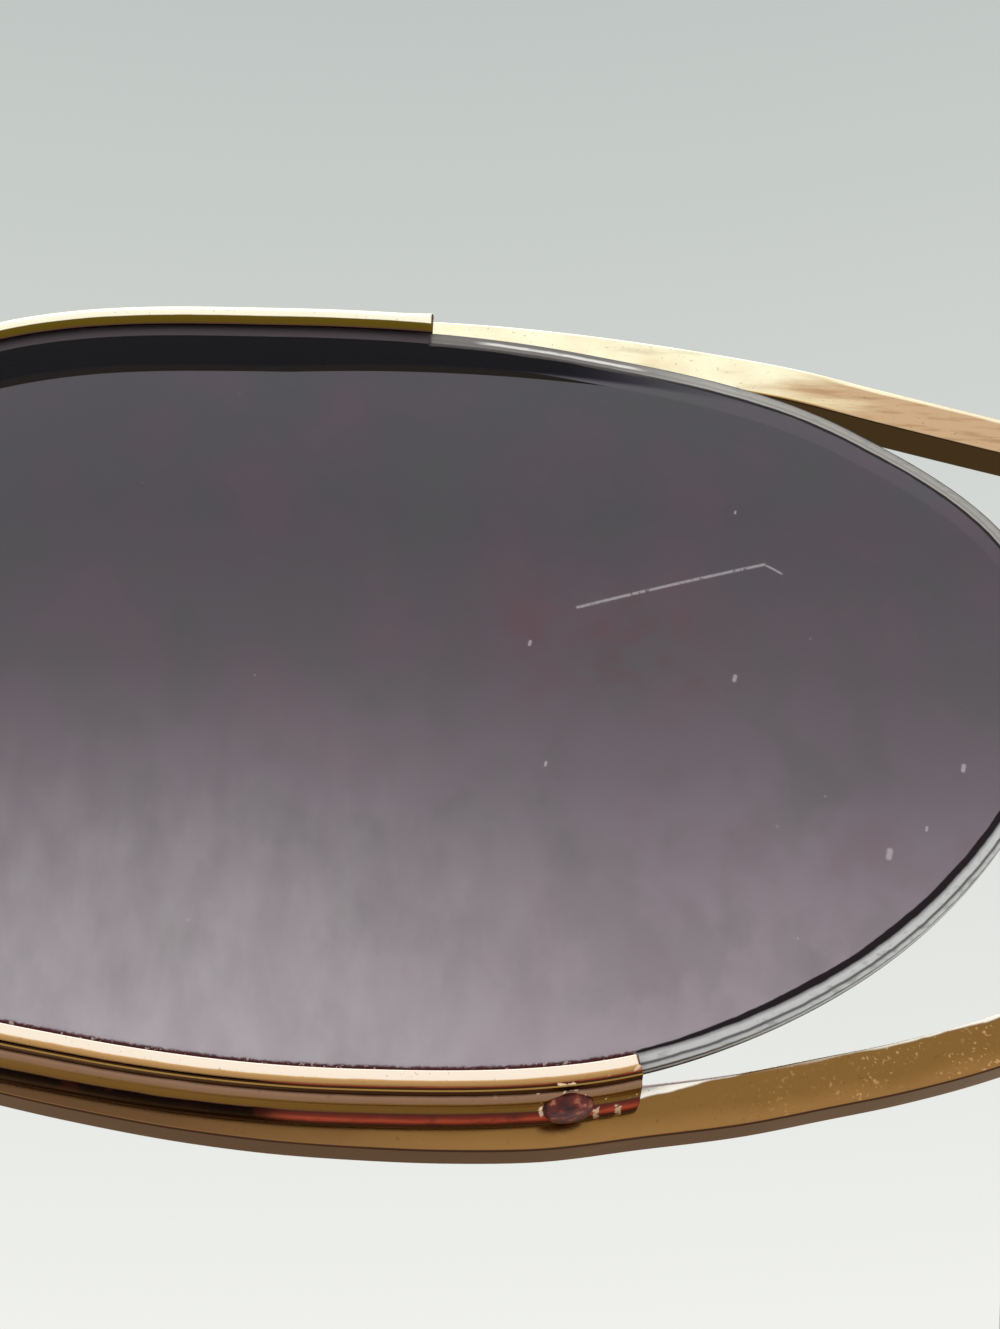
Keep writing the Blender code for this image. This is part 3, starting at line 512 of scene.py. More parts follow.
def makeLensFinish():
    surface = Surface("smokeTintedLensPaintedLight")
    noise = surface.noises(lensLook["noises"])
    x, z = surface.inMillimetres(0), surface.inMillimetres(2)
    up, out = z - frontLevel, abs(x)
    edge = surface.attribute("edge")
    high = step(up, -1.0, 3.0)
    low = 1.0 - high
    face = 1.0 - step(edge, 0.0, 0.02)

    # The tint, with clouds of mauve and moss, a rusty patch and a painted pale streaked patch low down,
    # standing for bright background seen through the lens
    cloud = noise["cloud"] - 0.5
    colour = ramp(up + cloud * lensLook["cloudLift"], lensLook["tint"])
    colour = stained(colour, noise["blotches"], lensLook["mauve"])
    colour = stained(colour, noise["blotches"], lensLook["moss"])
    patchX, patchZ, reach = lensLook["rustPatch"]
    patch = distance(x, z, (patchX - 2.0, patchZ), (patchX + 2.0, patchZ))
    colour = stained(colour, noise["grain"], lensLook["rust"], 1.0 - step(patch, reach * 0.2, reach))
    # Painted light: the pale streaked patch low on the nose side
    least, added = lensLook["seenThroughLightShares"]
    seenThroughLight = (1.0 - step(up, *lensLook["seenThroughLightUp"])) * (1.0 - step(out, *lensLook["seenThroughLightOut"]))
    seenThroughLight = seenThroughLight * (step(noise["streaks"], 0.25, 0.80) * added + least)
    colour = mix(seenThroughLight, colour, lensLook["seenThroughLight"])

    marked = addLensMarks(x, z, noise) * face * lensLook["markShare"]
    colour = mix(marked, colour, lensLook["mark"])
    darkX, darkZ, reach = lensLook["darkMark"]
    dark = distance(x, z, (darkX, darkZ), (darkX + 0.05, darkZ + 0.05))
    colour = mix(step(dark, reach, reach * 0.4) * face * lensLook["darkShare"], colour, lensLook["dark"])

    # The bare edge, painted with bands of light and shade
    wavy = edge + (noise["drag"] - 0.5) * lensLook["edgeWaver"]
    bands = mix(high, ramp(wavy, lensLook["lowBands"]), ramp(wavy, lensLook["highBands"]))
    shade = high * (1.0 - step(out, *lensLook["shadeOut"])) * lensLook["shadeShare"]
    bands = mix(shade, bands, lensLook["shade"])
    glint = high * within(out, *lensLook["glintOut"]) * within(wavy, *lensLook["glintBand"])
    bands = mix(glint, bands, lensLook["glint"])
    bands = stained(bands, noise["fine"], lensLook["edgeGrain"], step(edge, *lensLook["edgeGrainFrom"]))
    lowEnd, highEnd = lensMiddle + rim["lowerEnd"], lensMiddle + rim["upperEnd"]
    free = high * step(out, highEnd - 0.2, highEnd) + low * step(out, lowEnd - 0.2, lowEnd)
    start = mapped(out, *lensLook["bandGrowsOut"], *lensLook["lowBandStart"])
    start = mapped(high, 0.0, 1.0, start, lensLook["highBandStart"])
    wander = (noise["wander"] - 0.5) * lensLook["edgeWander"]
    onEdge = step(edge - start + wander, -0.02, 0.03) * (1.0 - step(edge, *lensLook["edgeEnd"]))
    onFree = onEdge * free

    # The edge under the rim shows as the face does, with a painted shadow line at the lip
    held = (1.0 - free) * within(edge, *lensLook["heldBand"])
    lip = low * within(edge + (noise["wear"] - 0.5) * 0.16, *lensLook["lipBand"])
    lipShadow = mix(step(noise["wear"], 0.60, 0.68), lensLook["lipShadow"], lensLook["lipSpeck"])
    underRim = mix(lip, mix(high, colour, lensLook["underRim"]), lipShadow)
    colour = mix(onFree, mix(held, colour, underRim), bands)

    # The back of the edge: the painted dark shade band
    inner = mapped(out, *lensLook["backEdgeOut"], *lensLook["backEdge"])
    navyShade = step(up, *lensLook["navyUp"]) * step(edge, *lensLook["navyEdge"])
    navyShade = navyShade * (1.0 - step(edge - inner, -0.16, 0.06))
    navyShade = navyShade * (1.0 - step(out + cloud * 6.0, *lensLook["navyFades"]))
    colour = mix(navyShade, colour, lensLook["navyShade"])

    freeSolid, markSolid, heldSolid = lensLook["solid"]
    solid = onFree * freeSolid + marked * markSolid
    solid = highest(highest(solid, held * highest(lip, high) * heldSolid), navyShade)
    setInputs(surface.shader, {
        "Base Color": colour, "Transmission Weight": addMath("SUBTRACT", 1.0, solid, use_clamp=True),
        "Roughness": onEdge * lensLook["edgeRoughness"] + lensLook["roughness"], "IOR": lensLook["index"],
    })
    return surface.material


def makeLenses(finish):
    outline = lensOutline(lens["around"])
    reach, facet, flat = lens["edgeReach"], lens["facetDepth"], lens["edgeFlat"]
    thick = lens["thickness"]
    flatRings = [(outline * share, 0.0, -2.0) for share in np.linspace(0.03, 0.965, lens["domeRings"])]
    side = facet + flat
    # How far out from the face, how deep, and the length over the edge
    for out, depth, over in (
        (-0.3, 0.0, -0.3), (-0.03, 0.0, -0.03), (0.0, 0.0, 0.0), (0.1, 0.1 / reach * facet, 0.1),
        (reach - 0.03, facet * 0.96, reach - 0.03), (reach, facet + 0.01, reach),
        (reach, facet + 0.05, reach + 0.05), (reach, side - 0.04, reach + flat - 0.04),
        (reach, side, reach + flat), (reach * 0.5, (side + thick) / 2, 1.9),
        (0.0, thick, 2.4), (-0.3, thick, 2.7), (-0.78, thick, 3.18),
    ):
        flatRings.append((offsetPath(outline, out, closed=True), depth, over))
    flatRings += [(outline * share, thick, 3.4) for share in np.linspace(0.93, 0.03, lens["domeRings"])]
    rings = [frontPlace(withDepth(ring, -depth)) for ring, depth, _ in flatRings]
    over = [over for _, _, over in flatRings]
    mesh = loftMesh("lensSkin", rings, {"edge": over}, fans=True, smoothAngle=10.0)
    dressBoth("Lens", mesh, finish, "lens", "lens")


# Gold: painted light, cream where it looks up, and painted shade, brown where it looks down, with tarnish in
# noise and fine pits

gold = {
    "facingLight": ((-1.0, tone(62, 40, 32)), (-0.72, tone(66, 43, 33)), (-0.45, tone(150, 112, 70)),
               (-0.25, tone(152, 114, 64)), (-0.10, tone(158, 124, 66)), (0.04, tone(222, 190, 128)),
               (0.16, tone(255, 249, 218)), (0.55, tone(255, 252, 228)), (1.0, tone(255, 253, 234))),
    "noises": {"cloud": (420.0, 4.0), "streak": (900.0, 3.0, (0.35, 1.0, 1.6)), "pits": (6500.0, 2.0)},
    "waver": 0.12, "tarnish": (tone(120, 84, 44), 0.54, 0.78, 0.26),
    "pit": (tone(70, 44, 26), 0.66, 0.74, 0.3), "grazing": tone(232, 214, 198),
    "roughness": (0.13, 0.30), "dirtRoughness": 0.5, "bump": (0.12, 0.00002),
}


# A gold finish. What a piece adds gives back the colour, and how dirty it is or None.
def makeGoldFinish(name, addTo=None):
    surface = Surface(name)
    noise = surface.noises(gold["noises"])
    # The colour by which way the surface faces is painted light and shade
    facingLight = axisOf(surface.normal, 2) + (noise["cloud"] - 0.5) * gold["waver"]
    colour = stained(ramp(facingLight, gold["facingLight"]), noise["streak"], gold["tarnish"])
    rough, metallic = mapped(noise["cloud"], 0.0, 1.0, *gold["roughness"]), 1.0
    if addTo:
        colour, dirty = addTo(surface, colour)
        if dirty:
            rough, metallic = rough + dirty * gold["dirtRoughness"], 1.0 - dirty
    colour = stained(colour, noise["pits"], gold["pit"])
    bump = surface.bump(noise["streak"] + noise["pits"], *gold["bump"])
    setInputs(surface.shader, {"Base Color": colour, "Roughness": rough, "Metallic": metallic,
                               "Specular Tint": gold["grazing"], "Normal": bump})
    return surface.material


# Geometry Nodes: trees that make a mesh from a line of points, and a section swept along a path

def newTree(name, inputs):
    tree = bpy.data.node_groups.new(name, "GeometryNodeTree")
    tree.interface.new_socket(name="Geometry", in_out="INPUT", socket_type="NodeSocketGeometry")
    tree.interface.new_socket(name="Geometry", in_out="OUTPUT", socket_type="NodeSocketGeometry")
    for label, kind in inputs:
        tree.interface.new_socket(name=label, in_out="INPUT", socket_type="NodeSocket" + kind)
    return tree, tree.nodes.new("NodeGroupInput").outputs


def endTree(tree, geometry, finish):
    real = addNode(tree, "GeometryNodeRealizeInstances", {"Geometry": geometry})
    painted = addNode(tree, "GeometryNodeSetMaterial", {"Geometry": real, "Material": finish})
    addNode(tree, "NodeGroupOutput", {0: painted})
    return tree


# The plain mesh that a tree makes of a mesh
def grow(tree, mesh, inputs):
    holder = bpy.data.objects.new("holder", mesh)
    bpy.context.scene.collection.objects.link(holder)
    modifier = holder.modifiers.new("grow", "NODES")
    modifier.node_group = tree
    for item in tree.interface.items_tree:
        if item.in_out == "INPUT" and item.name in inputs:
            modifier[item.identifier] = inputs[item.name]
    bpy.context.view_layer.update()
    grown = bpy.data.meshes.new_from_object(holder.evaluated_get(bpy.context.evaluated_depsgraph_get()))
    bpy.data.objects.remove(holder, do_unlink=True)
    return grown


def lineMesh(name, points, closed=False):
    edges = [(index, index + 1) for index in range(len(points) - 1)]
    if closed:
        edges.append((len(points) - 1, 0))
    mesh = bpy.data.meshes.new(name)
    mesh.from_pydata([(*point, 0.0)[:3] for point in np.asarray(points).tolist()], edges, [])
    return mesh


def makeSweepTree():
    tree, given = newTree("sweepSection", (("Section", "Object"), ("Finish", "Material")))
    curve = addNode(tree, "GeometryNodeMeshToCurve", {"Mesh": given["Geometry"]})
    upright = addNode(tree, "GeometryNodeSetCurveNormal", {"Curve": curve}, mode="Z_UP")
    section = addNode(tree, "GeometryNodeObjectInfo", {"Object": given["Section"]})
    profile = addNode(tree, "GeometryNodeMeshToCurve", {"Mesh": section.outputs["Geometry"]})
    inputs = {"Curve": upright, "Profile Curve": profile, "Fill Caps": True}
    return endTree(tree, addNode(tree, "GeometryNodeCurveToMesh", inputs), given["Finish"])


# A path swept with a section, given as how far to the right of the path and how far forward
def sweepMesh(path, section, finish):
    profile = lineMesh("section", [(right, -forward) for right, forward in section], closed=True)
    holder = bpy.data.objects.new("sectionHolder", profile)
    bpy.context.scene.collection.objects.link(holder)
    mesh = grow(sweepTree, lineMesh("path", path), {"Section": holder, "Finish": finish})
    bpy.data.objects.remove(holder, do_unlink=True)
    return mesh


def movePoints(mesh, change):
    points = np.zeros(len(mesh.vertices) * 3)
    mesh.vertices.foreach_get("co", points)
    mesh.vertices.foreach_set("co", change(points.reshape(-1, 3)).reshape(-1))
    mesh.update()
    return mesh


# The rims: a channel whose lip stands higher over the lens than under it, with a groove and a ridge below

rim = {
    "upperEnd": 2.8, "lowerEnd": 9.2, "outer": 1.4, "back": 2.0, "points": 220, "turns": (-5.0, 5.0),
    "bulge": 0.1, "bulgeFrom": 0.9, "bulgeLength": 1.6, "endRound": 0.2, "insideBand": 20.0,
    # Out from the lens face's edge, and forward of it, over the front and outside of the channel
    "lower": (
        (0.33, 0.09), (0.33, 0.24), (0.37, 0.31), (0.50, 0.33), (0.66, 0.31), (0.75, 0.24), (0.82, 0.15),
        (0.87, -0.02), (0.94, -0.25), (1.02, -0.33), (1.13, -0.42), (1.18, -0.55), (1.20, -0.80),
        (1.27, -1.18), (1.33, -1.30), (1.42, -1.55), (1.45, -1.75), (1.46, -1.95), (1.42, -2.25),
    ),
    "upper": (
        (0.50, 0.09), (0.50, 0.16), (0.56, 0.215), (0.66, 0.28), (0.78, 0.33), (0.86, 0.35), (1.05, 0.365),
        (1.22, 0.35), (1.33, 0.30), (1.40, 0.20), (1.44, 0.08), (1.45, -0.08), (1.45, -0.40), (1.44, -0.80),
        (1.43, -1.20), (1.42, -1.50), (1.41, -1.80), (1.38, -2.05), (1.30, -2.25),
    ),
    "inside": ((0.42, -2.30), (0.33, -2.20), (0.33, -1.66), (0.40, -1.61), (1.0, -1.61), (1.0, 0.09)),
}
rimLook = {
    # Colours by the place among the points of the section. The cream bands on the lower lip and on top of the
    # upper rim are painted highlights; the dark bands beside the lens, in the lower recess and under the
    # upper lip are painted shade.
    "low": ((0.0, tone(110, 40, 30)), (1.0, tone(150, 80, 60)), (1.7, tone(255, 240, 224)),
            (4.1, tone(255, 240, 222)), (4.5, tone(206, 160, 104)), (6.5, tone(196, 148, 90)),
            (6.9, tone(62, 34, 16)), (8.7, tone(60, 34, 18)), (9.3, tone(146, 112, 90)),
            (10.8, tone(142, 108, 84)), (11.4, tone(122, 88, 40)), (13.1, tone(112, 78, 34)),
            (13.5, tone(84, 26, 12)), (14.4, tone(128, 36, 20)), (14.9, tone(206, 84, 50)),
            (15.5, tone(196, 74, 44)), (16.0, tone(112, 30, 16)), (16.9, tone(60, 30, 14)),
            (18.0, tone(50, 30, 12))),
    "high": ((0.0, tone(62, 42, 46)), (1.3, tone(84, 56, 52)), (2.0, tone(92, 74, 22)),
             (4.5, tone(98, 80, 24)), (4.9, tone(255, 250, 226)), (9.2, tone(255, 253, 236)),
             (10.8, tone(255, 246, 206)), (12.0, tone(214, 186, 128)), (14.0, tone(160, 120, 66)),
             (18.0, tone(124, 88, 46))),
    "noises": {"grain": (2400.0, 4.0, (0.3, 1.0, 1.0)), "dirt": (1100.0, 4.0), "dust": (3000.0, 1.0),
               "crumbs": (5200.0, 2.0)},
    "waver": 0.7, "groove": tone(12, 4, 6), "grooveBand": (13.3, 17.0, 0.3), "grooveRedFrom": 31.5,
    "dirt": (tone(60, 20, 14), 0.5, 0.7, 0.6), "dirtyBand": (4.8, 9.2, 0.3), "dirtyShare": 0.4,
    "rustyBand": (13.0, 17.4, 0.4), "rustyShare": 0.5,
    "speck": tone(246, 214, 184), "speckBand": (4.5, 12.5, 0.5), "speckOut": (39.0, 43.0),
    "innerFrom": (18.1, 18.6), "inner": tone(84, 56, 54), "innerLight": tone(112, 88, 86),
    "endFace": tone(78, 48, 28), "endFaceLight": tone(120, 84, 52),
    # Pale flecks beside the screw, as x, height and reach
    "flecks": ((41.3, 0.98, 0.03), (43.15, 1.12, 0.05), (42.2, 1.43, 0.24), (43.9, 1.25, 0.06)),
}


def rimPath(count):
    fine = lensOutline(720)
    # The outline's point nearest to each end of the rim, on its own half
    top, bottom = (np.argmin(np.abs(fine[:, 0] - rim[end]) + (fine[:, 1] * half <= 0))
                   for end, half in (("upperEnd", 1), ("lowerEnd", -1)))
    return smoothPath(fine[np.linspace(top, bottom, count // 2).astype(int)], count)


# The rim's colours: painted highlights and painted shade in bands over its section, over tarnish, dirt, dust
# specks and pale flecks, with painted shadow on the upper rim's inner face
def addRimTarnishAndPaintedLight(surface, colour):
    noise = surface.noises(rimLook["noises"])
    band, upper = surface.attribute("band"), surface.attribute("upper")
    out, up = abs(surface.inMillimetres(0)), surface.inMillimetres(2)
    wavy = band + (noise["grain"] - 0.5) * rimLook["waver"]
    redFrom = rimLook["grooveRedFrom"]
    inGroove = within(wavy, *rimLook["grooveBand"])
    groove = inGroove * (1.0 - step(out, redFrom, redFrom + 2.0))
    low = mix(groove, ramp(wavy, rimLook["low"]), rimLook["groove"])
    low = stained(low, noise["dirt"], rimLook["dirt"], inGroove)
    specks = within(band, *rimLook["speckBand"]) * step(out, *rimLook["speckOut"])
    specks = specks * step(noise["dust"], 0.70, 0.74)
    for speckX, speckZ, reach in rimLook["flecks"]:
        near = distance(out, up, (speckX - reach, speckZ), (speckX + reach, speckZ + 0.02))
        specks = highest(specks, step(near + (noise["crumbs"] - 0.5) * 0.3, 0.07, 0.02))
    painted = mix(upper, mix(specks, low, rimLook["speck"]), ramp(wavy, rimLook["high"]))
    inner = step(band, *rimLook["innerFrom"])
    shadow = mix(step(noise["grain"], 0.4, 0.7), rimLook["inner"], rimLook["innerLight"])
    colour = mix(inner, painted, mix(upper, colour, shadow))
    rusty = within(band, *rimLook["rustyBand"]) * (1.0 - groove) * rimLook["rustyShare"]
    dirty = within(band, *rimLook["dirtyBand"]) * rimLook["dirtyShare"]
    dirty = highest(dirty, rusty) * (1.0 - upper) * (1.0 - inner)
    dirty = highest(dirty, inner * upper)
    end = lensMiddle + rim["upperEnd"]
    endFace = step(abs(axisOf(surface.normal, 0)), 0.5, 0.75) * step(out, end - 0.6, end - 0.3)
    flecks = mix(step(noise["grain"], 0.5, 0.7), rimLook["endFace"], rimLook["endFaceLight"])
    return mix(endFace, colour, flecks), highest(dirty, endFace)


def makeRims(finish):
    sections, bands = [], []
    # The band is the place among the control points. It counts for little in the lengths.
    scale = 0.02
    for kind in ("lower", "upper"):
        controls = np.column_stack([rim[kind], np.arange(len(rim[kind]))])
        fine = smoothPath(controls * (1.0, 1.0, scale), 90)
        sections.append(fine[:, :2])
        bands.append(fine[:, 2] / scale)
    path = rimPath(rim["points"])
    lengths = pathLengths(path)
    tangents = np.gradient(path, axis=0)
    tangents /= np.linalg.norm(tangents, axis=1)[:, None]
    stations = np.column_stack([path, tangents])
    rings, bandRows, upperRows = [], [], []
    for length, draw in zip(*roundEnds(path, rim["endRound"])):
        x, z, runX, runZ = (np.interp(length, lengths, stations[:, axis]) for axis in range(4))
        share = np.interp(z, rim["turns"], (0.0, 1.0))
        share = share * share * (3 - 2 * share)
        section = sections[0] * (1 - share) + sections[1] * share
        bulge = max(1 - length / rim["bulgeLength"], 0.0) ** 2
        outer = section[:, 0] > rim["bulgeFrom"]
        section = section + np.column_stack([outer, np.zeros(len(section))]) * rim["bulge"] * bulge
        section = np.minimum(section, section.max(axis=0) - draw)
        section = np.concatenate([section, rim["inside"]])
        rings.append(frontPlace([(x + runZ * r, z - runX * r, w) for r, w in section]))
        band = bands[0] * (1 - share) + bands[1] * share
        bandRows.append(np.concatenate([band, np.full(len(rim["inside"]), rim["insideBand"])]))
        upperRows.append(share)
    mesh = loftMesh("rimSkin", rings, {"band": bandRows, "upper": upperRows}, smoothAngle=35.0)
    dressBoth("Rim", mesh, finish, "gold", "rim")


# The bars behind the rims, which go on round the free lens ends

bars = {
    "front": 2.3, "straightFrom": 7.5, "nasalStart": 3.5, "rimShare": 0.45, "points": 170, "corner": 0.09,
    "upperThickness": 1.6, "upperHeight": 1.9, "upperNasalHeight": 1.0, "upperRimHeight": 2.15,
    "upperReaches": (0.35, 1.9), "lowerThickness": 1.4, "lowerHeight": 1.8, "lowerReaches": (-0.05, 0.9),
    "upperRoute": ((0.37, 1.171), (0.53, 1.136), (0.68, 1.089), (0.80, 1.031), (0.99, 0.944), (1.18, 0.862)),
    "lowerRoute": ((0.505, -1.059), (0.605, -1.022), (0.71, -0.982), (0.84, -0.918), (1.04, -0.773),
                   (1.22, -0.46), (1.34, -0.02)),
}
barLook = {
    "upperNoises": {"streak": (800.0, 4.0, (0.16, 1.0, 1.5)), "scored": (2600.0, 3.0, (0.08, 1.0, 1.6))},
    "worn": tone(206, 174, 138), "wornOut": (51.5, 56.0), "wornWander": 10.0,
    "streak": (tone(158, 118, 78), 0.46, 0.68, 0.45),
    # A painted highlight line along the upper bar's top edge, and painted shade on its underside
    "topLine": tone(255, 246, 214), "topLineFrom": (0.68, 0.8),
    "upperUnder": tone(66, 50, 30), "underFacing": (-0.3, -0.6),
    "lowerNoises": {"ragged": (500.0,), "specks": (6600.0, 1.0), "some": (900.0, 2.0)},
    # The lower bar's face is painted shade, browner than the gold and darker towards the nose, paler towards
    # its outer edge
    "low": tone(132, 97, 52), "lowOuter": tone(152, 112, 66), "outerFrom": (0.1, 0.9),
    "lowNasal": tone(84, 58, 44), "nasalOut": (42.0, 24.0), "nasalShare": 0.9, "faceShare": 0.9,
    "speck": (tone(222, 176, 124), 0.60, 0.69, 0.55), "speckOut": (46.0, 55.0),
    # Painted highlights: a line along the lower bar's edge and a glint beside the rim's end
    "glint": tone(255, 250, 240), "glintAt": (44.2, 48.6), "glintReach": (-0.38, -1.0),
    "edgeLineFrom": (-0.82, -0.92), "edgeLineOut": (48.0, 56.0),
}
endpiece = {
    "across": 35.9, "level": 10.8, "height": 4.2, "wall": 2.0, "seat": 0.3, "corner": 2.0, "edgeRound": 0.35,
    "letIn": 0.39, "barLetIn": 0.48,   # how far the endpiece and the bars reach into the solder gaps
}


def barFall(across, up):
    near = np.minimum(across, bars["straightFrom"])
    beyond = np.maximum(across - bars["straightFrom"], 0.0)
    return domeFall(near, up) + beyond * bars["straightFrom"] / lens["frontRadius"]


def barRoute(route, reaches, top):
    sign = 1 if top else -1
    stop = rim["upperEnd"] if top else rim["lowerEnd"]
    chosen = [point for point in lensOutline(360) if point[1] * sign > bars["nasalStart"] and point[0] < stop]
    chosen = np.array(sorted(chosen, key=lambda point: point[0]))
    behind = offsetPath(chosen, -sign * (rim["outer"] + np.linspace(*reaches, len(chosen))))
    picked = behind[np.linspace(0, len(behind) - 1, 14).astype(int)]
    if top:
        end = (endpiece["across"], endpiece["level"] + bars["upperHeight"] / 2)
    else:
        under = endpiece["level"] - endpiece["height"] / 2 - endpiece["seat"]
        end = (endpiece["across"] + bars["lowerHeight"], under)
    return smoothPath([*picked, *scaledPoints(route), end], bars["points"])


# A flat bar under its outer edge, with narrow corners, let a little way into the endpiece
def barMesh(name, outerEdge, heights, thickness):
    inner = offsetPath(outerEdge, heights)
    middle = (outerEdge + inner) / 2
    out = (outerEdge - inner) / np.linalg.norm(outerEdge - inner, axis=1)[:, None]
    run = middle[-1] - middle[-2]
    middle = np.vstack([middle, middle[-1] + run / np.linalg.norm(run) * endpiece["barLetIn"]])
    tall = np.abs(heights)
    stations = np.column_stack([middle, np.vstack([out, out[-1:]]), np.append(tall, tall[-1])])
    lengths = pathLengths(middle)
    places, drawn = roundEnds(middle, bars["corner"])
    rings, levels = [], []
    for place, draw in zip(places, drawn):
        x, z, outX, outZ, height = (np.interp(place, lengths, stations[:, axis]) for axis in range(5))
        corner = max(bars["corner"] - draw * 0.9, 0.02)
        section = flatSidedBox(height - draw * 2, thickness - draw * 2, corner)
        ring = [(x + outX * a, z + outZ * a, -bars["front"] - thickness / 2 + b) for a, b in section]
        rings.append(frontPlace(ring, barFall))
        levels.append(section[:, 0] * 2 / height)
    return loftMesh(name, rings, {"level": levels}, smoothAngle=50.0)


# How much a surface looks forwards, and not up or down
def facesForward(surface):
    return 1.0 - step(abs(axisOf(surface.normal, 2)), 0.35, 0.6)


def addUpperBarWearAndPaintedLight(surface, colour):
    noise = surface.noises(barLook["upperNoises"])
    streak = noise["streak"] - 0.5
    worn = abs(surface.inMillimetres(0)) + streak * barLook["wornWander"]
    worn = step(worn, *barLook["wornOut"]) * facesForward(surface)
    colour = stained(mix(worn, colour, barLook["worn"]), noise["scored"], barLook["streak"], worn)
    # Painted highlight along the top edge
    topLine = step(surface.attribute("level") + streak * 0.3, *barLook["topLineFrom"])
    colour = mix(topLine * worn, colour, barLook["topLine"])
    # Painted shade where the bar faces down
    return mix(step(axisOf(surface.normal, 2), *barLook["underFacing"]), colour, barLook["upperUnder"]), None


# The lower bar is browner from painted shade, darker towards the nose, with a painted highlight line along
# its outer edge, specks and a painted glint beside the rim's end
def addLowerBarPaintedLightAndSpecks(surface, colour):
    noise = surface.noises(barLook["lowerNoises"])
    level, out, forward = surface.attribute("level"), abs(surface.inMillimetres(0)), facesForward(surface)
    ragged = noise["ragged"] - 0.5
    tilt = level + ragged * 0.35
    face = mix(step(level + ragged * 0.9, *barLook["outerFrom"]), barLook["low"], barLook["lowOuter"])
    face = mix(step(out, *barLook["nasalOut"]) * barLook["nasalShare"], face, barLook["lowNasal"])
    colour = mix(forward * barLook["faceShare"], colour, face)
    limits = (step(noise["some"], 0.38, 0.60), forward, step(out, *barLook["speckOut"]))
    colour = stained(colour, noise["specks"], barLook["speck"], *limits)
    edgeLine = step(tilt, *barLook["edgeLineFrom"]) * step(out, *barLook["edgeLineOut"])
    colour = mix(edgeLine, colour, barLook["glint"])
    reach = mapped(out, *barLook["glintAt"], *barLook["glintReach"])
    glint = step(tilt - reach, 0.05, -0.05) * within(out, *barLook["glintAt"], 0.1)
    return mix(glint, colour, barLook["glint"]), None


def makeBars(upperFinish, lowerFinish):
    edge = barRoute(bars["upperRoute"], bars["upperReaches"], True)
    places = (0.0, bars["rimShare"], bars["rimShare"] + 0.2, 1.0)
    heights = (bars["upperNasalHeight"], bars["upperRimHeight"], bars["upperHeight"], bars["upperHeight"])
    heights = np.interp(np.linspace(0.0, 1.0, len(edge)), places, heights)
    mesh = barMesh("upperBarSkin", edge, heights, bars["upperThickness"])
    dressBoth("UpperBar", mesh, upperFinish, "gold", "upper_bar")
    edge = barRoute(bars["lowerRoute"], bars["lowerReaches"], False)
    mesh = barMesh("lowerBarSkin", edge, np.full(len(edge), -bars["lowerHeight"]), bars["lowerThickness"])
    dressBoth("LowerBar", mesh, lowerFinish, "gold", "lower_bar")


# The endpieces: a corner block with round edges, from the bars' ends back to the hinge

def makeEndpieces(finish):
    low, high = (np.array(corner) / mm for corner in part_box("endpiece_left"))
    left, front, right, back = low[0] - endpiece["letIn"], low[1], high[0], high[1]
    wall, corner, edgeRound = endpiece["wall"], endpiece["corner"], endpiece["edgeRound"]
    arc = [(right - corner + corner * math.sin(turn), front + corner - corner * math.cos(turn))
           for turn in np.linspace(0.0, math.pi / 2, 12)]
    inner = corner - wall * 0.45
    inside = [(right - wall - inner + inner * math.cos(turn), front + wall + inner - inner * math.sin(turn))
              for turn in np.linspace(0.0, math.pi / 2, 8)]
    plan = np.array([(left, front), *arc, (right, back), (right - wall, back), *inside, (left, front + wall)])
    rings = []
    for turn in np.radians((-90.0, -67.5, -45.0, -22.5, 0.0, 0.0, 22.5, 45.0, 67.5, 90.0)):
        lower = len(rings) < 5
        inset = offsetPath(plan, -edgeRound * (1 - math.cos(turn)), closed=True)
        flat = low[2] + edgeRound if lower else high[2] - edgeRound
        rings.append(withDepth(inset, flat + edgeRound * math.sin(turn)) * mm)
    dressBoth("Endpiece", loftMesh("endpieceSkin", rings, smoothAngle=45.0), finish, "gold", "endpiece")


# Screws: a turned shank and a slotted, domed head

screws = {
    # Radius and length of the shank, radius and height of the head, width and depth of the slot
    "hinge": (0.65, 4.26, 1.15, 0.5, 0.32, 0.28),
    "pad": (0.36, 2.55, 0.72, 0.4, 0.2, 0.2),
    "rim": (0.4, 0.12, 0.92, 0.6, 0.0, 0.0),
    "sides": 48, "rows": 40, "weld": 0.0005,
    "rimAcross": 6.9, "rimSink": 0.45, "rimBack": 0.62, "hingeSink": 0.06, "padSink": 0.025,
}


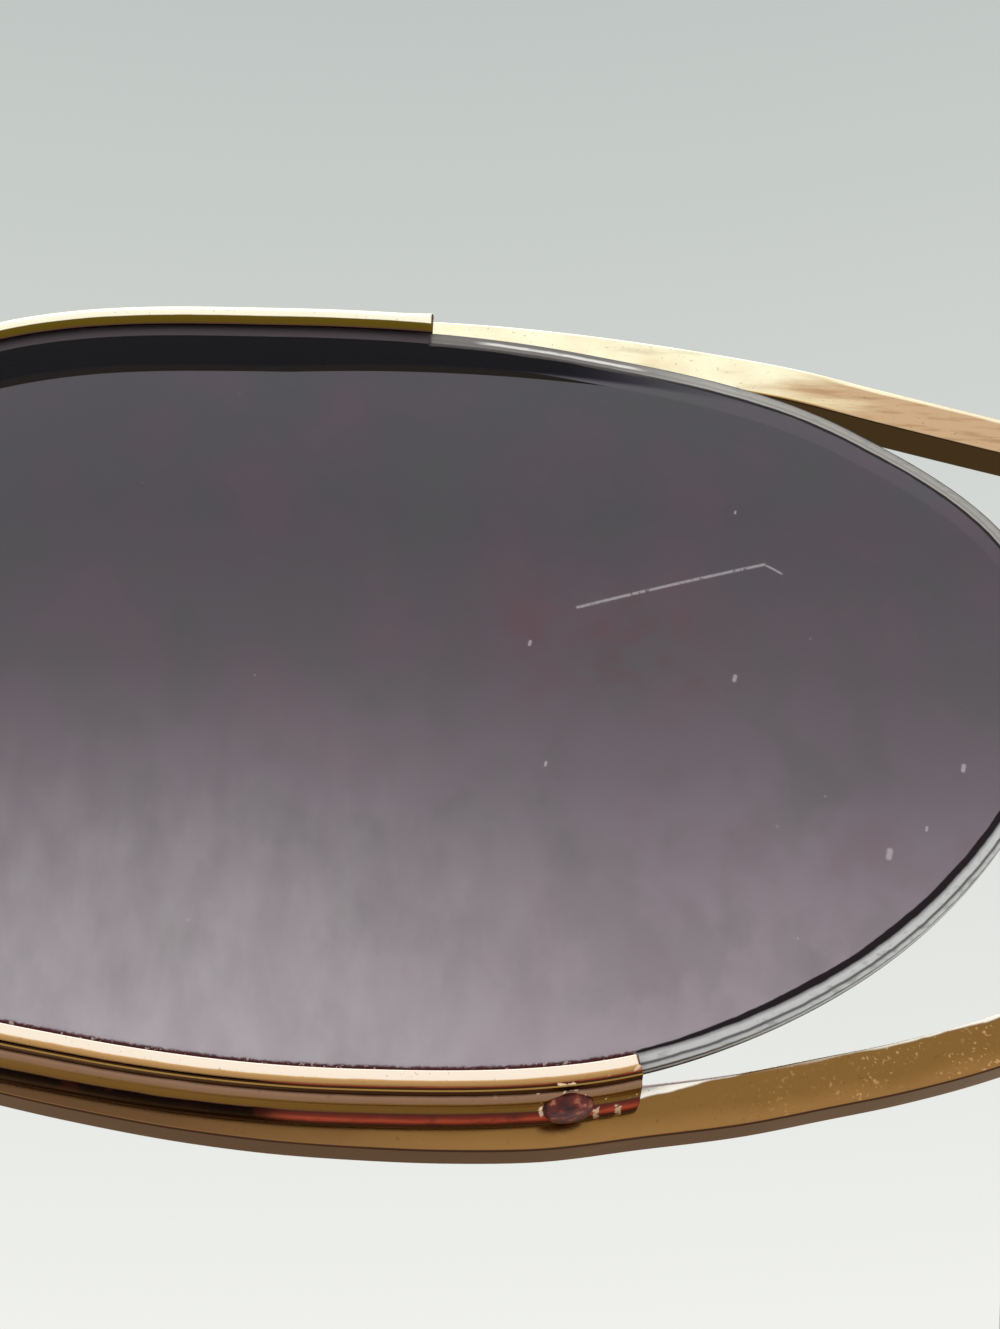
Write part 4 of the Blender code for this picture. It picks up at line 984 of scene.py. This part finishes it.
def makeScrewTree():
    tree, given = newTree("slottedScrew", (("Sides", "Int"), ("Slot Width", "Float"), ("Slot Depth", "Float"),
                                           ("Head Top", "Float"), ("Finish", "Material")))
    profile = addNode(tree, "GeometryNodeMeshToCurve", {"Mesh": given["Geometry"]})
    inputs = {"Size X": 1.0, "Size Y": 1.0, "Vertices X": given["Sides"], "Vertices Y": screws["rows"]}
    grid = addNode(tree, "GeometryNodeMeshGrid", inputs)
    # Across the grid is a turn about the screw, and up it is a place along the profile
    place = addValue(tree, "GeometryNodeInputPosition")
    turn = (axisOf(place, 0) + 0.5) * (2 * math.pi)
    inputs = {"Curves": profile, "Factor": axisOf(place, 1) + 0.5}
    point = addValue(tree, "GeometryNodeSampleCurve", inputs, "Position", use_all_curves=False, mode="FACTOR")
    reach = axisOf(point, 0)
    inputs = {0: reach * addMath("COSINE", turn), 1: reach * addMath("SINE", turn), 2: axisOf(point, 1)}
    ring = addNode(tree, "ShaderNodeCombineXYZ", inputs)
    turned = addNode(tree, "GeometryNodeSetPosition", {"Geometry": grid, "Position": ring})
    welded = addNode(tree, "GeometryNodeMergeByDistance", {"Geometry": turned, "Distance": screws["weld"]})

    inputs = {0: 10.0, 1: given["Slot Width"], 2: Value(given["Slot Depth"]) * 2.0}
    cutter = addNode(tree, "GeometryNodeMeshCube", {"Size": addNode(tree, "ShaderNodeCombineXYZ", inputs)})
    top = addNode(tree, "ShaderNodeCombineXYZ", {2: given["Head Top"]})
    moved = addNode(tree, "GeometryNodeTransform", {"Geometry": cutter, "Translation": top})
    inputs = {"Mesh 1": welded, "Mesh 2": moved}
    cut = addNode(tree, "GeometryNodeMeshBoolean", inputs, operation="DIFFERENCE", solver="EXACT")
    slotted = addNode(tree, "FunctionNodeCompare", {"A": given["Slot Width"], "B": 0.0})
    chosen = addNode(tree, "GeometryNodeSwitch", {"Switch": slotted, "False": welded, "True": cut})
    return endTree(tree, chosen, given["Finish"])


# A screw along +Z in millimetres, its shank from zero to its length and its head above
def screwMesh(kind, finish):
    radius, length, head, tall, slot, depth = screws[kind]
    dome = ((0.0, 1.0), (0.45, 0.97), (0.75, 0.82), (0.93, 0.55), (1.0, 0.28))
    profile = [(head * out, length + tall * up) for out, up in dome]
    profile += [(head * 0.97, length + 0.02), (head * 0.9, length), (radius, length), (radius, length * 0.5),
                (radius, 0.06), (radius * 0.85, 0.0), (0.0, 0.0)]
    return grow(screwTree, lineMesh("screwProfile", profile), {
        "Sides": screws["sides"] + 1, "Slot Width": slot, "Slot Depth": depth, "Head Top": length + tall,
        "Finish": finish})


screwLook = {
    # Painted light: the steel is paler where it faces up and darker where it faces down
    "facingLight": ((-1.0, tone(120, 100, 80)), (0.0, tone(190, 176, 148)), (1.0, tone(232, 224, 202))),
    "grain": (1500.0, 3.0), "stain": (tone(120, 96, 66), 0.5, 0.72, 0.4), "roughness": (0.18, 0.4),
    "rust": ((0.30, tone(44, 12, 10)), (0.46, tone(86, 24, 18)), (0.58, tone(124, 44, 34)),
             (0.72, tone(210, 140, 110))),
    "crust": (2600.0, 5.0), "crustBump": (0.6, 0.00008), "rustMetallic": 0.35, "rustRoughness": 0.45,
}


def makeScrewFinish():
    surface = Surface("turnedSteelPaintedLight")
    grain = surface.noise(*screwLook["grain"])
    colour = ramp(axisOf(surface.normal, 2), screwLook["facingLight"])
    rough = mapped(grain, 0.0, 1.0, *screwLook["roughness"])
    colour = stained(colour, grain, screwLook["stain"])
    setInputs(surface.shader, {"Base Color": colour, "Roughness": rough, "Metallic": 1.0})
    return surface.material


def makeRustyHeadFinish():
    surface = Surface("rustedRivetHead")
    crust = surface.noise(*screwLook["crust"])
    setInputs(surface.shader, {
        "Base Color": ramp(crust, screwLook["rust"]), "Metallic": screwLook["rustMetallic"],
        "Roughness": screwLook["rustRoughness"], "Normal": surface.bump(crust, *screwLook["crustBump"]),
    })
    return surface.material


def makeScrews(finish, rustyFinish):
    mesh = screwMesh("hinge", finish)
    start = Vector((0.0, 0.0, (screws["hinge"][1] / 2 - screws["hingeSink"]) * mm))
    place = Matrix.Translation(Vector(joints["fold_left"]["pos_m"]) - start)
    mesh.transform(place @ Matrix.Scale(mm, 4))
    dressBoth("HingeScrew", closeMesh(mesh), finish, "screw", "hinge_screw")

    mesh = screwMesh("pad", finish)
    start = (screws["padSink"] - screws["pad"][1] / 2) * mm
    place = padFrame() @ Matrix.Translation((padPivot * mm, start, 0.0))
    mesh.transform(place @ Matrix.Rotation(math.radians(-90), 4, "X") @ Matrix.Scale(mm, 4))
    dressBoth("PadScrew", closeMesh(mesh), finish, "screw", "pad_screw")

    # The rim screw stands square to the lower outline, with its head outwards
    mesh = screwMesh("rim", rustyFinish)
    below = np.array(sorted((point for point in lensOutline(72) if point[1] < 0), key=lambda point: point[0]))
    across = screws["rimAcross"]
    near = np.interp((across - 1, across, across + 1), below[:, 0], below[:, 1])
    slope = math.atan2(near[2] - near[0], 2)
    out = np.array([math.sin(slope), -math.cos(slope), 0.0])
    side = np.array([math.cos(slope), math.sin(slope), 0.0])
    base = np.array([across, near[1], -rim["back"] * screws["rimBack"]])
    base = base + out * (rim["outer"] - screws["rimSink"])
    turn = np.column_stack([side, np.cross(out, side), out])
    movePoints(mesh, lambda points: frontPlace(points @ turn.T + base))
    dressBoth("RimScrew", closeMesh(mesh), rustyFinish, "screw", "rim_screw")


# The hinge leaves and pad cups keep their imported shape, with their edges softened

soften = {"weld": 0.001, "flatAngle": 2.0, "sharpAngle": 35.0, "width": 0.07, "profile": 0.6}


def softenNode(node, name, body, finish):
    flat, sharp = math.radians(soften["flatAngle"]), math.radians(soften["sharpAngle"])
    for side in sides:
        mesh = frame["nodes"][f"{node}_{side}"].data.copy()
        mesh.transform(Matrix.Scale(1 / mm, 4))
        work = bmesh.new()
        work.from_mesh(mesh)
        bmesh.ops.remove_doubles(work, verts=work.verts, dist=soften["weld"])
        bmesh.ops.dissolve_limit(work, angle_limit=flat, verts=work.verts, edges=work.edges)
        edges = [edge for edge in work.edges if len(edge.link_faces) == 2]
        edges = [edge for edge in edges if edge.calc_face_angle(0.0) > sharp]
        bmesh.ops.bevel(work, geom=edges, offset=soften["width"], segments=2, profile=soften["profile"],
                        affect="EDGES", clamp_overlap=True)
        work.to_mesh(mesh)
        work.free()
        mesh.transform(Matrix.Scale(mm, 4))
        ownBody = body if body == "frame" else f"{body}_{side}"
        dress(f"{side}{name}", closeMesh(mesh, 28.0), finish, ownBody, "gold", f"{node}_{side}")


# Temples: a flat tapered arm, bent down over the ear, in a polished sleeve

temple = {
    "length": 137.0, "thickness": 1.3, "frontHeight": 3.6, "backHeight": 1.9, "letBack": 3.5,
    "bendFrom": 92.0, "bendRadius": 34.0, "tipHeight": 5.6, "tipThickness": 3.2, "tipLength": 46.0,
    "knuckle": 1.35, "seat": 0.3, "clearance": 0.15, "inSleeve": 3.0, "endRound": 0.3, "corner": 0.38,
    "sleeveSlack": 0.16, "sleeveAround": 48,
    # Along the sleeve, its shares of the tip's height and thickness
    "tipHeights": ((0.0, 0.08, 0.5, 1.0), (0.62, 0.72, 0.85, 1.0)),
    "tipThicknesses": ((0.0, 0.1, 1.0), (0.86, 1.0, 1.0)),
}


def templeLine(travel, drop):
    past = travel - temple["bendFrom"]
    turn = np.clip(past / temple["bendRadius"], 0.0, drop)
    run = np.maximum(past - drop * temple["bendRadius"], 0.0)
    back = np.minimum(travel, temple["bendFrom"]) + temple["bendRadius"] * np.sin(turn) + run * np.cos(turn)
    up = -temple["bendRadius"] * (1 - np.cos(turn)) - run * np.sin(turn)
    return np.stack([back, up], axis=1), turn


# The bend that brings the tip's foot to the floor
def templeDrop(hingeHeight):
    low, high = math.radians(10), math.radians(75)
    for _ in range(40):
        angle = (low + high) / 2
        line, _ = templeLine(np.array([temple["length"]]), angle)
        reach = temple["tipHeight"] / 2 * math.cos(angle) - line[0][1]
        low, high = (angle, high) if reach < hingeHeight else (low, angle)
    return angle


# Rings square to the temple's line, one at each travel along it, turned out about the hinge
def templeRings(stations, drop, sections):
    hinge = np.array(joints["fold_left"]["pos_m"]) / mm
    middleX = hinge[0] + temple["knuckle"] + temple["seat"] + temple["thickness"] / 2
    line, turn = templeLine(np.array(stations), drop)
    letBack = math.radians(-temple["letBack"])
    cosine, sine = math.cos(letBack), math.sin(letBack)
    rings = []
    for (back, up), angle, section in zip(line, turn, sections):
        x = middleX + section[:, 0] - hinge[0]
        y = back + section[:, 1] * math.sin(angle)
        z = hinge[2] + up + section[:, 1] * math.cos(angle)
        x, y = x * cosine - y * sine, x * sine + y * cosine
        rings.append(np.stack([hinge[0] + x, hinge[1] + y, np.maximum(z, 0.0)], 1) * mm)
    return rings


def makeTemples(armFinish, tipFinish):
    drop = templeDrop(joints["fold_left"]["pos_m"][2] / mm)
    sleeveStart = temple["length"] - temple["tipLength"]
    # The arm's front end clears the endpiece with the temple turned out
    width = temple["knuckle"] + temple["seat"] + temple["thickness"]
    butt = temple["clearance"] + width * math.sin(math.radians(temple["letBack"]))
    travel = np.linspace(butt, sleeveStart + temple["inSleeve"], 120)
    path = np.column_stack([travel, np.zeros(len(travel))])
    places, drawn = roundEnds(path, temple["endRound"])
    stations, sections = [], []
    for place, draw in zip(places + butt, drawn):
        height = np.interp(place, (butt, sleeveStart), (temple["frontHeight"], temple["backHeight"]))
        stations.append(place)
        corner = temple["corner"] - draw * 0.4
        sections.append(roundedBox(temple["thickness"] - draw * 1.2, height - draw * 2, corner, 5))
    mesh = loftMesh("templeSkin", templeRings(stations, drop, sections), smoothAngle=40.0)
    dressBoth("Temple", mesh, armFinish, "gold", "temple", "temple_arm")

    # The sleeve starts inside its own mouth, runs along the arm and ends in a round tip
    around, slack = temple["sleeveAround"], temple["sleeveSlack"]
    mouth = squareOval((temple["thickness"] + slack) / 2, (temple["backHeight"] + slack) / 2, 6.0, around)
    stations, sections = [sleeveStart + 2.0, sleeveStart], [mouth, mouth]
    total, halfHeight, halfThick = temple["tipLength"], temple["tipHeight"] / 2, temple["tipThickness"] / 2
    for place in (0.0, 0.12, 0.35, 0.7, *np.linspace(1.5, total, 60)):
        height = halfHeight * np.interp(place / total, *temple["tipHeights"])
        thick = halfThick * np.interp(place / total, *temple["tipThicknesses"])
        draw = 0.45 * (1 - min(place / 0.7, 1.0)) ** 2
        stations.append(sleeveStart + place)
        sections.append(squareOval(thick - draw, height - draw, 2.6, around))
    for turn in np.radians((20, 40, 55, 68, 78, 86)):
        shrink = math.cos(turn)
        stations.append(sleeveStart + total + halfHeight * math.sin(turn))
        sections.append(squareOval(halfThick * shrink**0.7, halfHeight * shrink, 2.4, around))
    mesh = loftMesh("sleeveSkin", templeRings(stations, drop, sections), fans=True, smoothAngle=50.0)
    dressBoth("TempleTip", mesh, tipFinish, "sleeve", "temple_tip", "temple_arm")


sleeveLook = {
    "flow": (160.0, 5.0, (1.0, 0.3, 1.0)), "smear": (300.0, 3.0), "roughness": (0.12, 0.3), "coat": 0.4,
    "colours": ((0.3, tone(34, 18, 12)), (0.5, tone(66, 36, 20)), (0.62, tone(112, 64, 30)),
                (0.75, tone(150, 92, 44))),
}


def makeSleeveFinish():
    surface = Surface("polishedBrownSleeve")
    rough = mapped(surface.noise(*sleeveLook["smear"]), 0.0, 1.0, *sleeveLook["roughness"])
    colour = ramp(surface.noise(*sleeveLook["flow"]), sleeveLook["colours"])
    setInputs(surface.shader, {"Base Color": colour, "Roughness": rough, "Coat Weight": sleeveLook["coat"]})
    return surface.material


# The bridge: an arched bar between the rims

bridge = {
    "radius": 0.9, "level": 5.5, "clearance": 0.48, "rise": 3.6, "inRim": (0.55, 0.1, -0.75),
    # From the rim to the middle: share of the way, how far forward, and share of the rise
    "arch": ((0.0, 0.0, 0.0), (0.18, 0.2, 0.45), (0.55, 0.5, 0.9), (1.0, 0.6, 1.0)),
}


# A place beside the rim's inner side, at a level of the lens
def nasalPlace(level, clearance):
    inner = [point for point in lensOutline(72) if point[0] < 0]
    nearest = min(inner, key=lambda point: abs(point[1] - level))
    return frontPlace([(nearest[0] - rim["outer"] - clearance, nearest[1], -rim["back"] * 0.5)])[0] / mm


def makeBridge(finish):
    start = nasalPlace(bridge["level"], bridge["clearance"])
    points = [start + bridge["inRim"]]
    for share, forward, up in bridge["arch"]:
        points.append(start + (-start[0] * share, -forward, bridge["rise"] * up))
    points += [point * (-1.0, 1.0, 1.0) for point in reversed(points[:-1])]
    section = squareOval(bridge["radius"], bridge["radius"], 2.0, 32)
    mesh = sweepMesh(smoothPath(points, 90), section, finish)
    mesh.transform(Matrix.Scale(mm, 4))
    dress("archedBridge", closeMesh(mesh, 40.0), finish, "frame", "gold", "bridge")


# The nose pads: clear pads with a lug, each in a cup on a wire arm

pad = {
    "height": 13.0, "width": 7.2, "thickness": 2.3, "splay": 24.0, "frontal": 12.0, "lugLength": 1.7,
    "lugWidth": 1.1, "lugHeight": 2.2, "armRadius": 0.5, "cupWall": 0.55, "around": 64,
    # Forward share of the thickness, share of the oval, and how square it is
    "profile": (
        (0.5, 0.04, 2.0), (0.495, 0.2, 2.0), (0.47, 0.42, 2.05), (0.42, 0.62, 2.1), (0.33, 0.79, 2.15),
        (0.22, 0.905, 2.2), (0.10, 0.97, 2.2), (-0.02, 1.0, 2.2), (-0.13, 0.985, 2.2), (-0.23, 0.94, 2.2),
        (-0.3, 0.86, 2.2), (-0.33, 0.75, 2.2), (-0.34, 0.6, 2.2),
    ),
    # Behind the pad, the half width, half height and squareness of its foot
    "foot": ((0.05, 1.3, 2.0, 3.0), (0.3, 0.85, 1.45, 4.0)),
    # The arm's way from the cup, as how far away from it and a shift, and then to its root on the rim
    "armLead": ((0.0, (0.0, 0.0, 0.0)), (1.4, (0.0, 0.0, 0.0)), (2.3, (0.0, -0.5, 0.3))),
    "armRoot": ((3.6, 0.9, -0.6), (1.4, 0.25, -0.2), (0.0, 0.0, 0.0), (-0.25, -0.55, 0.1)),
    "rootLevel": -1.5, "rootBack": 0.6,
}
padPivot = -pad["thickness"] / 2 - pad["lugLength"] / 2 - 0.15


# Where the left pad stands: its face forward along its own X, turned about the rocking joint
def padFrame():
    splay = Matrix.Rotation(math.radians(-pad["splay"]), 3, "Z")
    frontal = Matrix.Rotation(math.radians(pad["frontal"]), 3, "Y")
    axes = Matrix(((-1.0, 0.0, 0.0), (0.0, -1.0, 0.0), (0.0, 0.0, 1.0)))
    turn = splay @ frontal @ axes
    place = turn.to_4x4()
    place.translation = Vector(joints["rock_left"]["pos_m"]) - turn @ Vector((padPivot * mm, 0.0, 0.0))
    return place


def makePads(padFinish, goldFinish):
    place = padFrame()
    width, height, thick = pad["width"] / 2, pad["height"] / 2, pad["thickness"]
    lugWidth, lugHeight = pad["lugWidth"] / 2, pad["lugHeight"] / 2
    # Each ring is how far forward, its half width and half height, and how square it is
    rings = [(forward * thick, width * share, height * share, power)
             for forward, share, power in pad["profile"]]
    back = rings[-1][0]
    rings += [(back - run, *size) for run, *size in pad["foot"]]
    rings += [(back - run, lugWidth, lugHeight, 6.0) for run in (0.55, 1.2, 1.8, 2.0)]
    rings.append((back - 2.1, lugWidth - 0.1, lugHeight - 0.1, 5.0))
    lofted = []
    for forward, *size in rings:
        ring = squareOval(*size, pad["around"])
        lofted.append(np.column_stack([np.full(len(ring), forward), ring]) * mm)
    mesh = loftMesh("padSkin", lofted, fans=True, smoothAngle=60.0)
    mesh.transform(place)
    dressBoth("NosePad", closeMesh(mesh, 60.0), padFinish, "pad", "nose_pad", "pad")

    cupLength = pad["lugLength"] + pad["cupWall"] + 0.1
    cupBack = padPivot - pad["cupWall"] / 2 - cupLength / 2 - 0.1
    cupBack = np.array(place @ Vector((cupBack * mm, 0.0, 0.0))) / mm
    away = np.array(place.to_3x3() @ Vector((-1.0, 0.0, 0.0)))
    root = nasalPlace(pad["rootLevel"], 0.0)
    root = root + (0.0, rim["back"] * 0.5 + pad["armRadius"] + pad["rootBack"], 0.0)
    route = [cupBack + away * lead + shift for lead, shift in pad["armLead"]]
    route += [root + shift for shift in pad["armRoot"]]
    section = squareOval(pad["armRadius"], pad["armRadius"], 2.0, 24)
    mesh = sweepMesh(smoothPath(route, 80), section, goldFinish)
    mesh.transform(Matrix.Scale(mm, 4))
    dressBoth("PadArm", closeMesh(mesh, 40.0), goldFinish, "gold", "pad_arm")


padLook = {
    "cloud": (350.0, 3.0), "colours": ((0.3, tone(236, 232, 218)), (0.7, tone(248, 246, 238))),
    "roughness": (0.22, 0.42), "clear": 0.65, "index": 1.41,
}


def makePadFinish():
    surface = Surface("clearSilicone")
    cloud = surface.noise(*padLook["cloud"])
    rough = mapped(cloud, 0.0, 1.0, *padLook["roughness"])
    setInputs(surface.shader, {"Base Color": ramp(cloud, padLook["colours"]), "Roughness": rough,
                               "Transmission Weight": padLook["clear"], "IOR": padLook["index"]})
    return surface.material


# World, floor, lamps and camera

# A pale backdrop for what sees the world, and plain ambient light for the rest
def makeWorld():
    world = bpy.data.worlds.new("paleStudio")
    bpy.context.scene.world = world
    world.use_nodes = True
    tree = world.node_tree
    tree.nodes.clear()
    direction = addValue(tree, "ShaderNodeTexCoord", output="Generated")
    colour = ramp(axisOf(direction, 2), ((light["lowAt"], light["low"]), (light["highAt"], light["high"])))
    colour = mix(step(axisOf(direction, 1) * -1.0, -0.1, 0.4), colour, light["front"])
    shown = addNode(tree, "ShaderNodeBackground", {"Color": colour, "Strength": 1.0})
    white = (1.0, 1.0, 1.0, 1.0)
    ambient = addNode(tree, "ShaderNodeBackground", {"Color": white, "Strength": light["ambient"]})
    path = addNode(tree, "ShaderNodeLightPath").outputs
    seen = Value(path["Is Camera Ray"]) + path["Is Glossy Ray"] + path["Is Transmission Ray"]
    both = {0: addMath("MINIMUM", seen, 1.0), 1: ambient, 2: shown}
    addNode(tree, "ShaderNodeOutputWorld", {0: addNode(tree, "ShaderNodeMixShader", both)})


def makeFloor():
    half, drop = light["floorSize"] / 2, light["floorDrop"]
    mesh = bpy.data.meshes.new("floor")
    corners = [(-half, -half, -drop), (half, -half, -drop), (half, half, -drop), (-half, half, -drop)]
    mesh.from_pydata(corners, [], [(0, 1, 2, 3)])
    floor = bpy.data.objects.new("floor", mesh)
    bpy.context.scene.collection.objects.link(floor)
    surface = Surface("paleFloor")
    tree = surface.tree
    setInputs(surface.shader, {"Base Color": light["floor"], "Roughness": light["floorRoughness"]})
    # Away from the glasses the floor shows the world's own colour, so that no horizon shows
    away = addValue(tree, "ShaderNodeVectorMath", {0: surface.place}, "Value", operation="LENGTH")
    inFront = step(axisOf(surface.place, 1) / away, 0.1, -0.4)
    far = addNode(tree, "ShaderNodeEmission", {0: mix(inFront, light["low"], light["front"])})
    path = addNode(tree, "ShaderNodeLightPath").outputs
    seen = highest(Value(path["Is Camera Ray"]), path["Is Transmission Ray"])
    fading = {0: step(away, *light["fade"]) * seen, 1: surface.shader, 2: far}
    top = addNode(tree, "ShaderNodeMixShader", fading)
    # The camera looks up from under the floor, so its underside lets the view through, and mirrors miss it
    under = addValue(tree, "ShaderNodeNewGeometry", output="Backfacing")
    under = highest(under, path["Is Glossy Ray"])
    oneSided = {0: under, 1: top, 2: addNode(tree, "ShaderNodeBsdfTransparent")}
    setInputs(tree.nodes["Material Output"], {0: addNode(tree, "ShaderNodeMixShader", oneSided)})
    mesh.materials.append(surface.material)


def makeLamps():
    for name, (place, size, watts) in lamps.items():
        lamp = bpy.data.objects.new(name, bpy.data.lights.new(name, "AREA"))
        lamp.data.size = size
        lamp.data.energy = watts
        lamp.location = place
        lamp.rotation_euler = (Vector((0.0, 0.0, 0.02)) - Vector(place)).to_track_quat("-Z", "Y").to_euler()
        bpy.context.scene.collection.objects.link(lamp)


def makeCamera():
    made = bpy.data.objects.new("photoCamera", bpy.data.cameras.new("photoCamera"))
    bpy.context.scene.collection.objects.link(made)
    made.data.sensor_width = camera["sensor"]
    made.data.lens = camera["lens"]
    made.data.clip_start = 0.001
    place = Matrix.Translation((frontShift + camera["fromLens"]) * mm)
    turn = Matrix.Rotation(math.radians(90 + camera["climb"]), 4, "X")
    made.matrix_world = place @ turn @ Matrix.Rotation(math.radians(camera["roll"]), 4, "Z")
    bpy.context.scene.camera = made


makeCamera()
makeWorld()
makeFloor()
makeLamps()
print("Camera, world, floor and lamps are set")

sweepTree = makeSweepTree()
screwTree = makeScrewTree()
polishedGoldPaintedLight = makeGoldFinish("polishedGoldPaintedLight")
rimGold = makeGoldFinish("tarnishedRimGoldPaintedLight", addRimTarnishAndPaintedLight)
upperBarGold = makeGoldFinish("streakedBarGoldPaintedLight", addUpperBarWearAndPaintedLight)
lowerBarGold = makeGoldFinish("speckledBarGoldPaintedLight", addLowerBarPaintedLightAndSpecks)
steel = makeScrewFinish()
rustyHead = makeRustyHeadFinish()

makeLenses(makeLensFinish())
print("Lenses made")
makeRims(rimGold)
makeBars(upperBarGold, lowerBarGold)
print("Rims and bars made")
makeEndpieces(polishedGoldPaintedLight)
softenNode("endpiece_hinge", "EndpieceHinge", "frame", polishedGoldPaintedLight)
softenNode("temple_hinge", "TempleHinge", "temple_arm", polishedGoldPaintedLight)
softenNode("pad_cup", "PadCup", "frame", polishedGoldPaintedLight)
makeScrews(steel, rustyHead)
print("Endpieces, hinges and screws made")
makeTemples(polishedGoldPaintedLight, makeSleeveFinish())
makeBridge(polishedGoldPaintedLight)
makePads(makePadFinish(), polishedGoldPaintedLight)
print("Temples, bridge and pads made")

bpy.context.scene.view_settings.view_transform = "Standard"
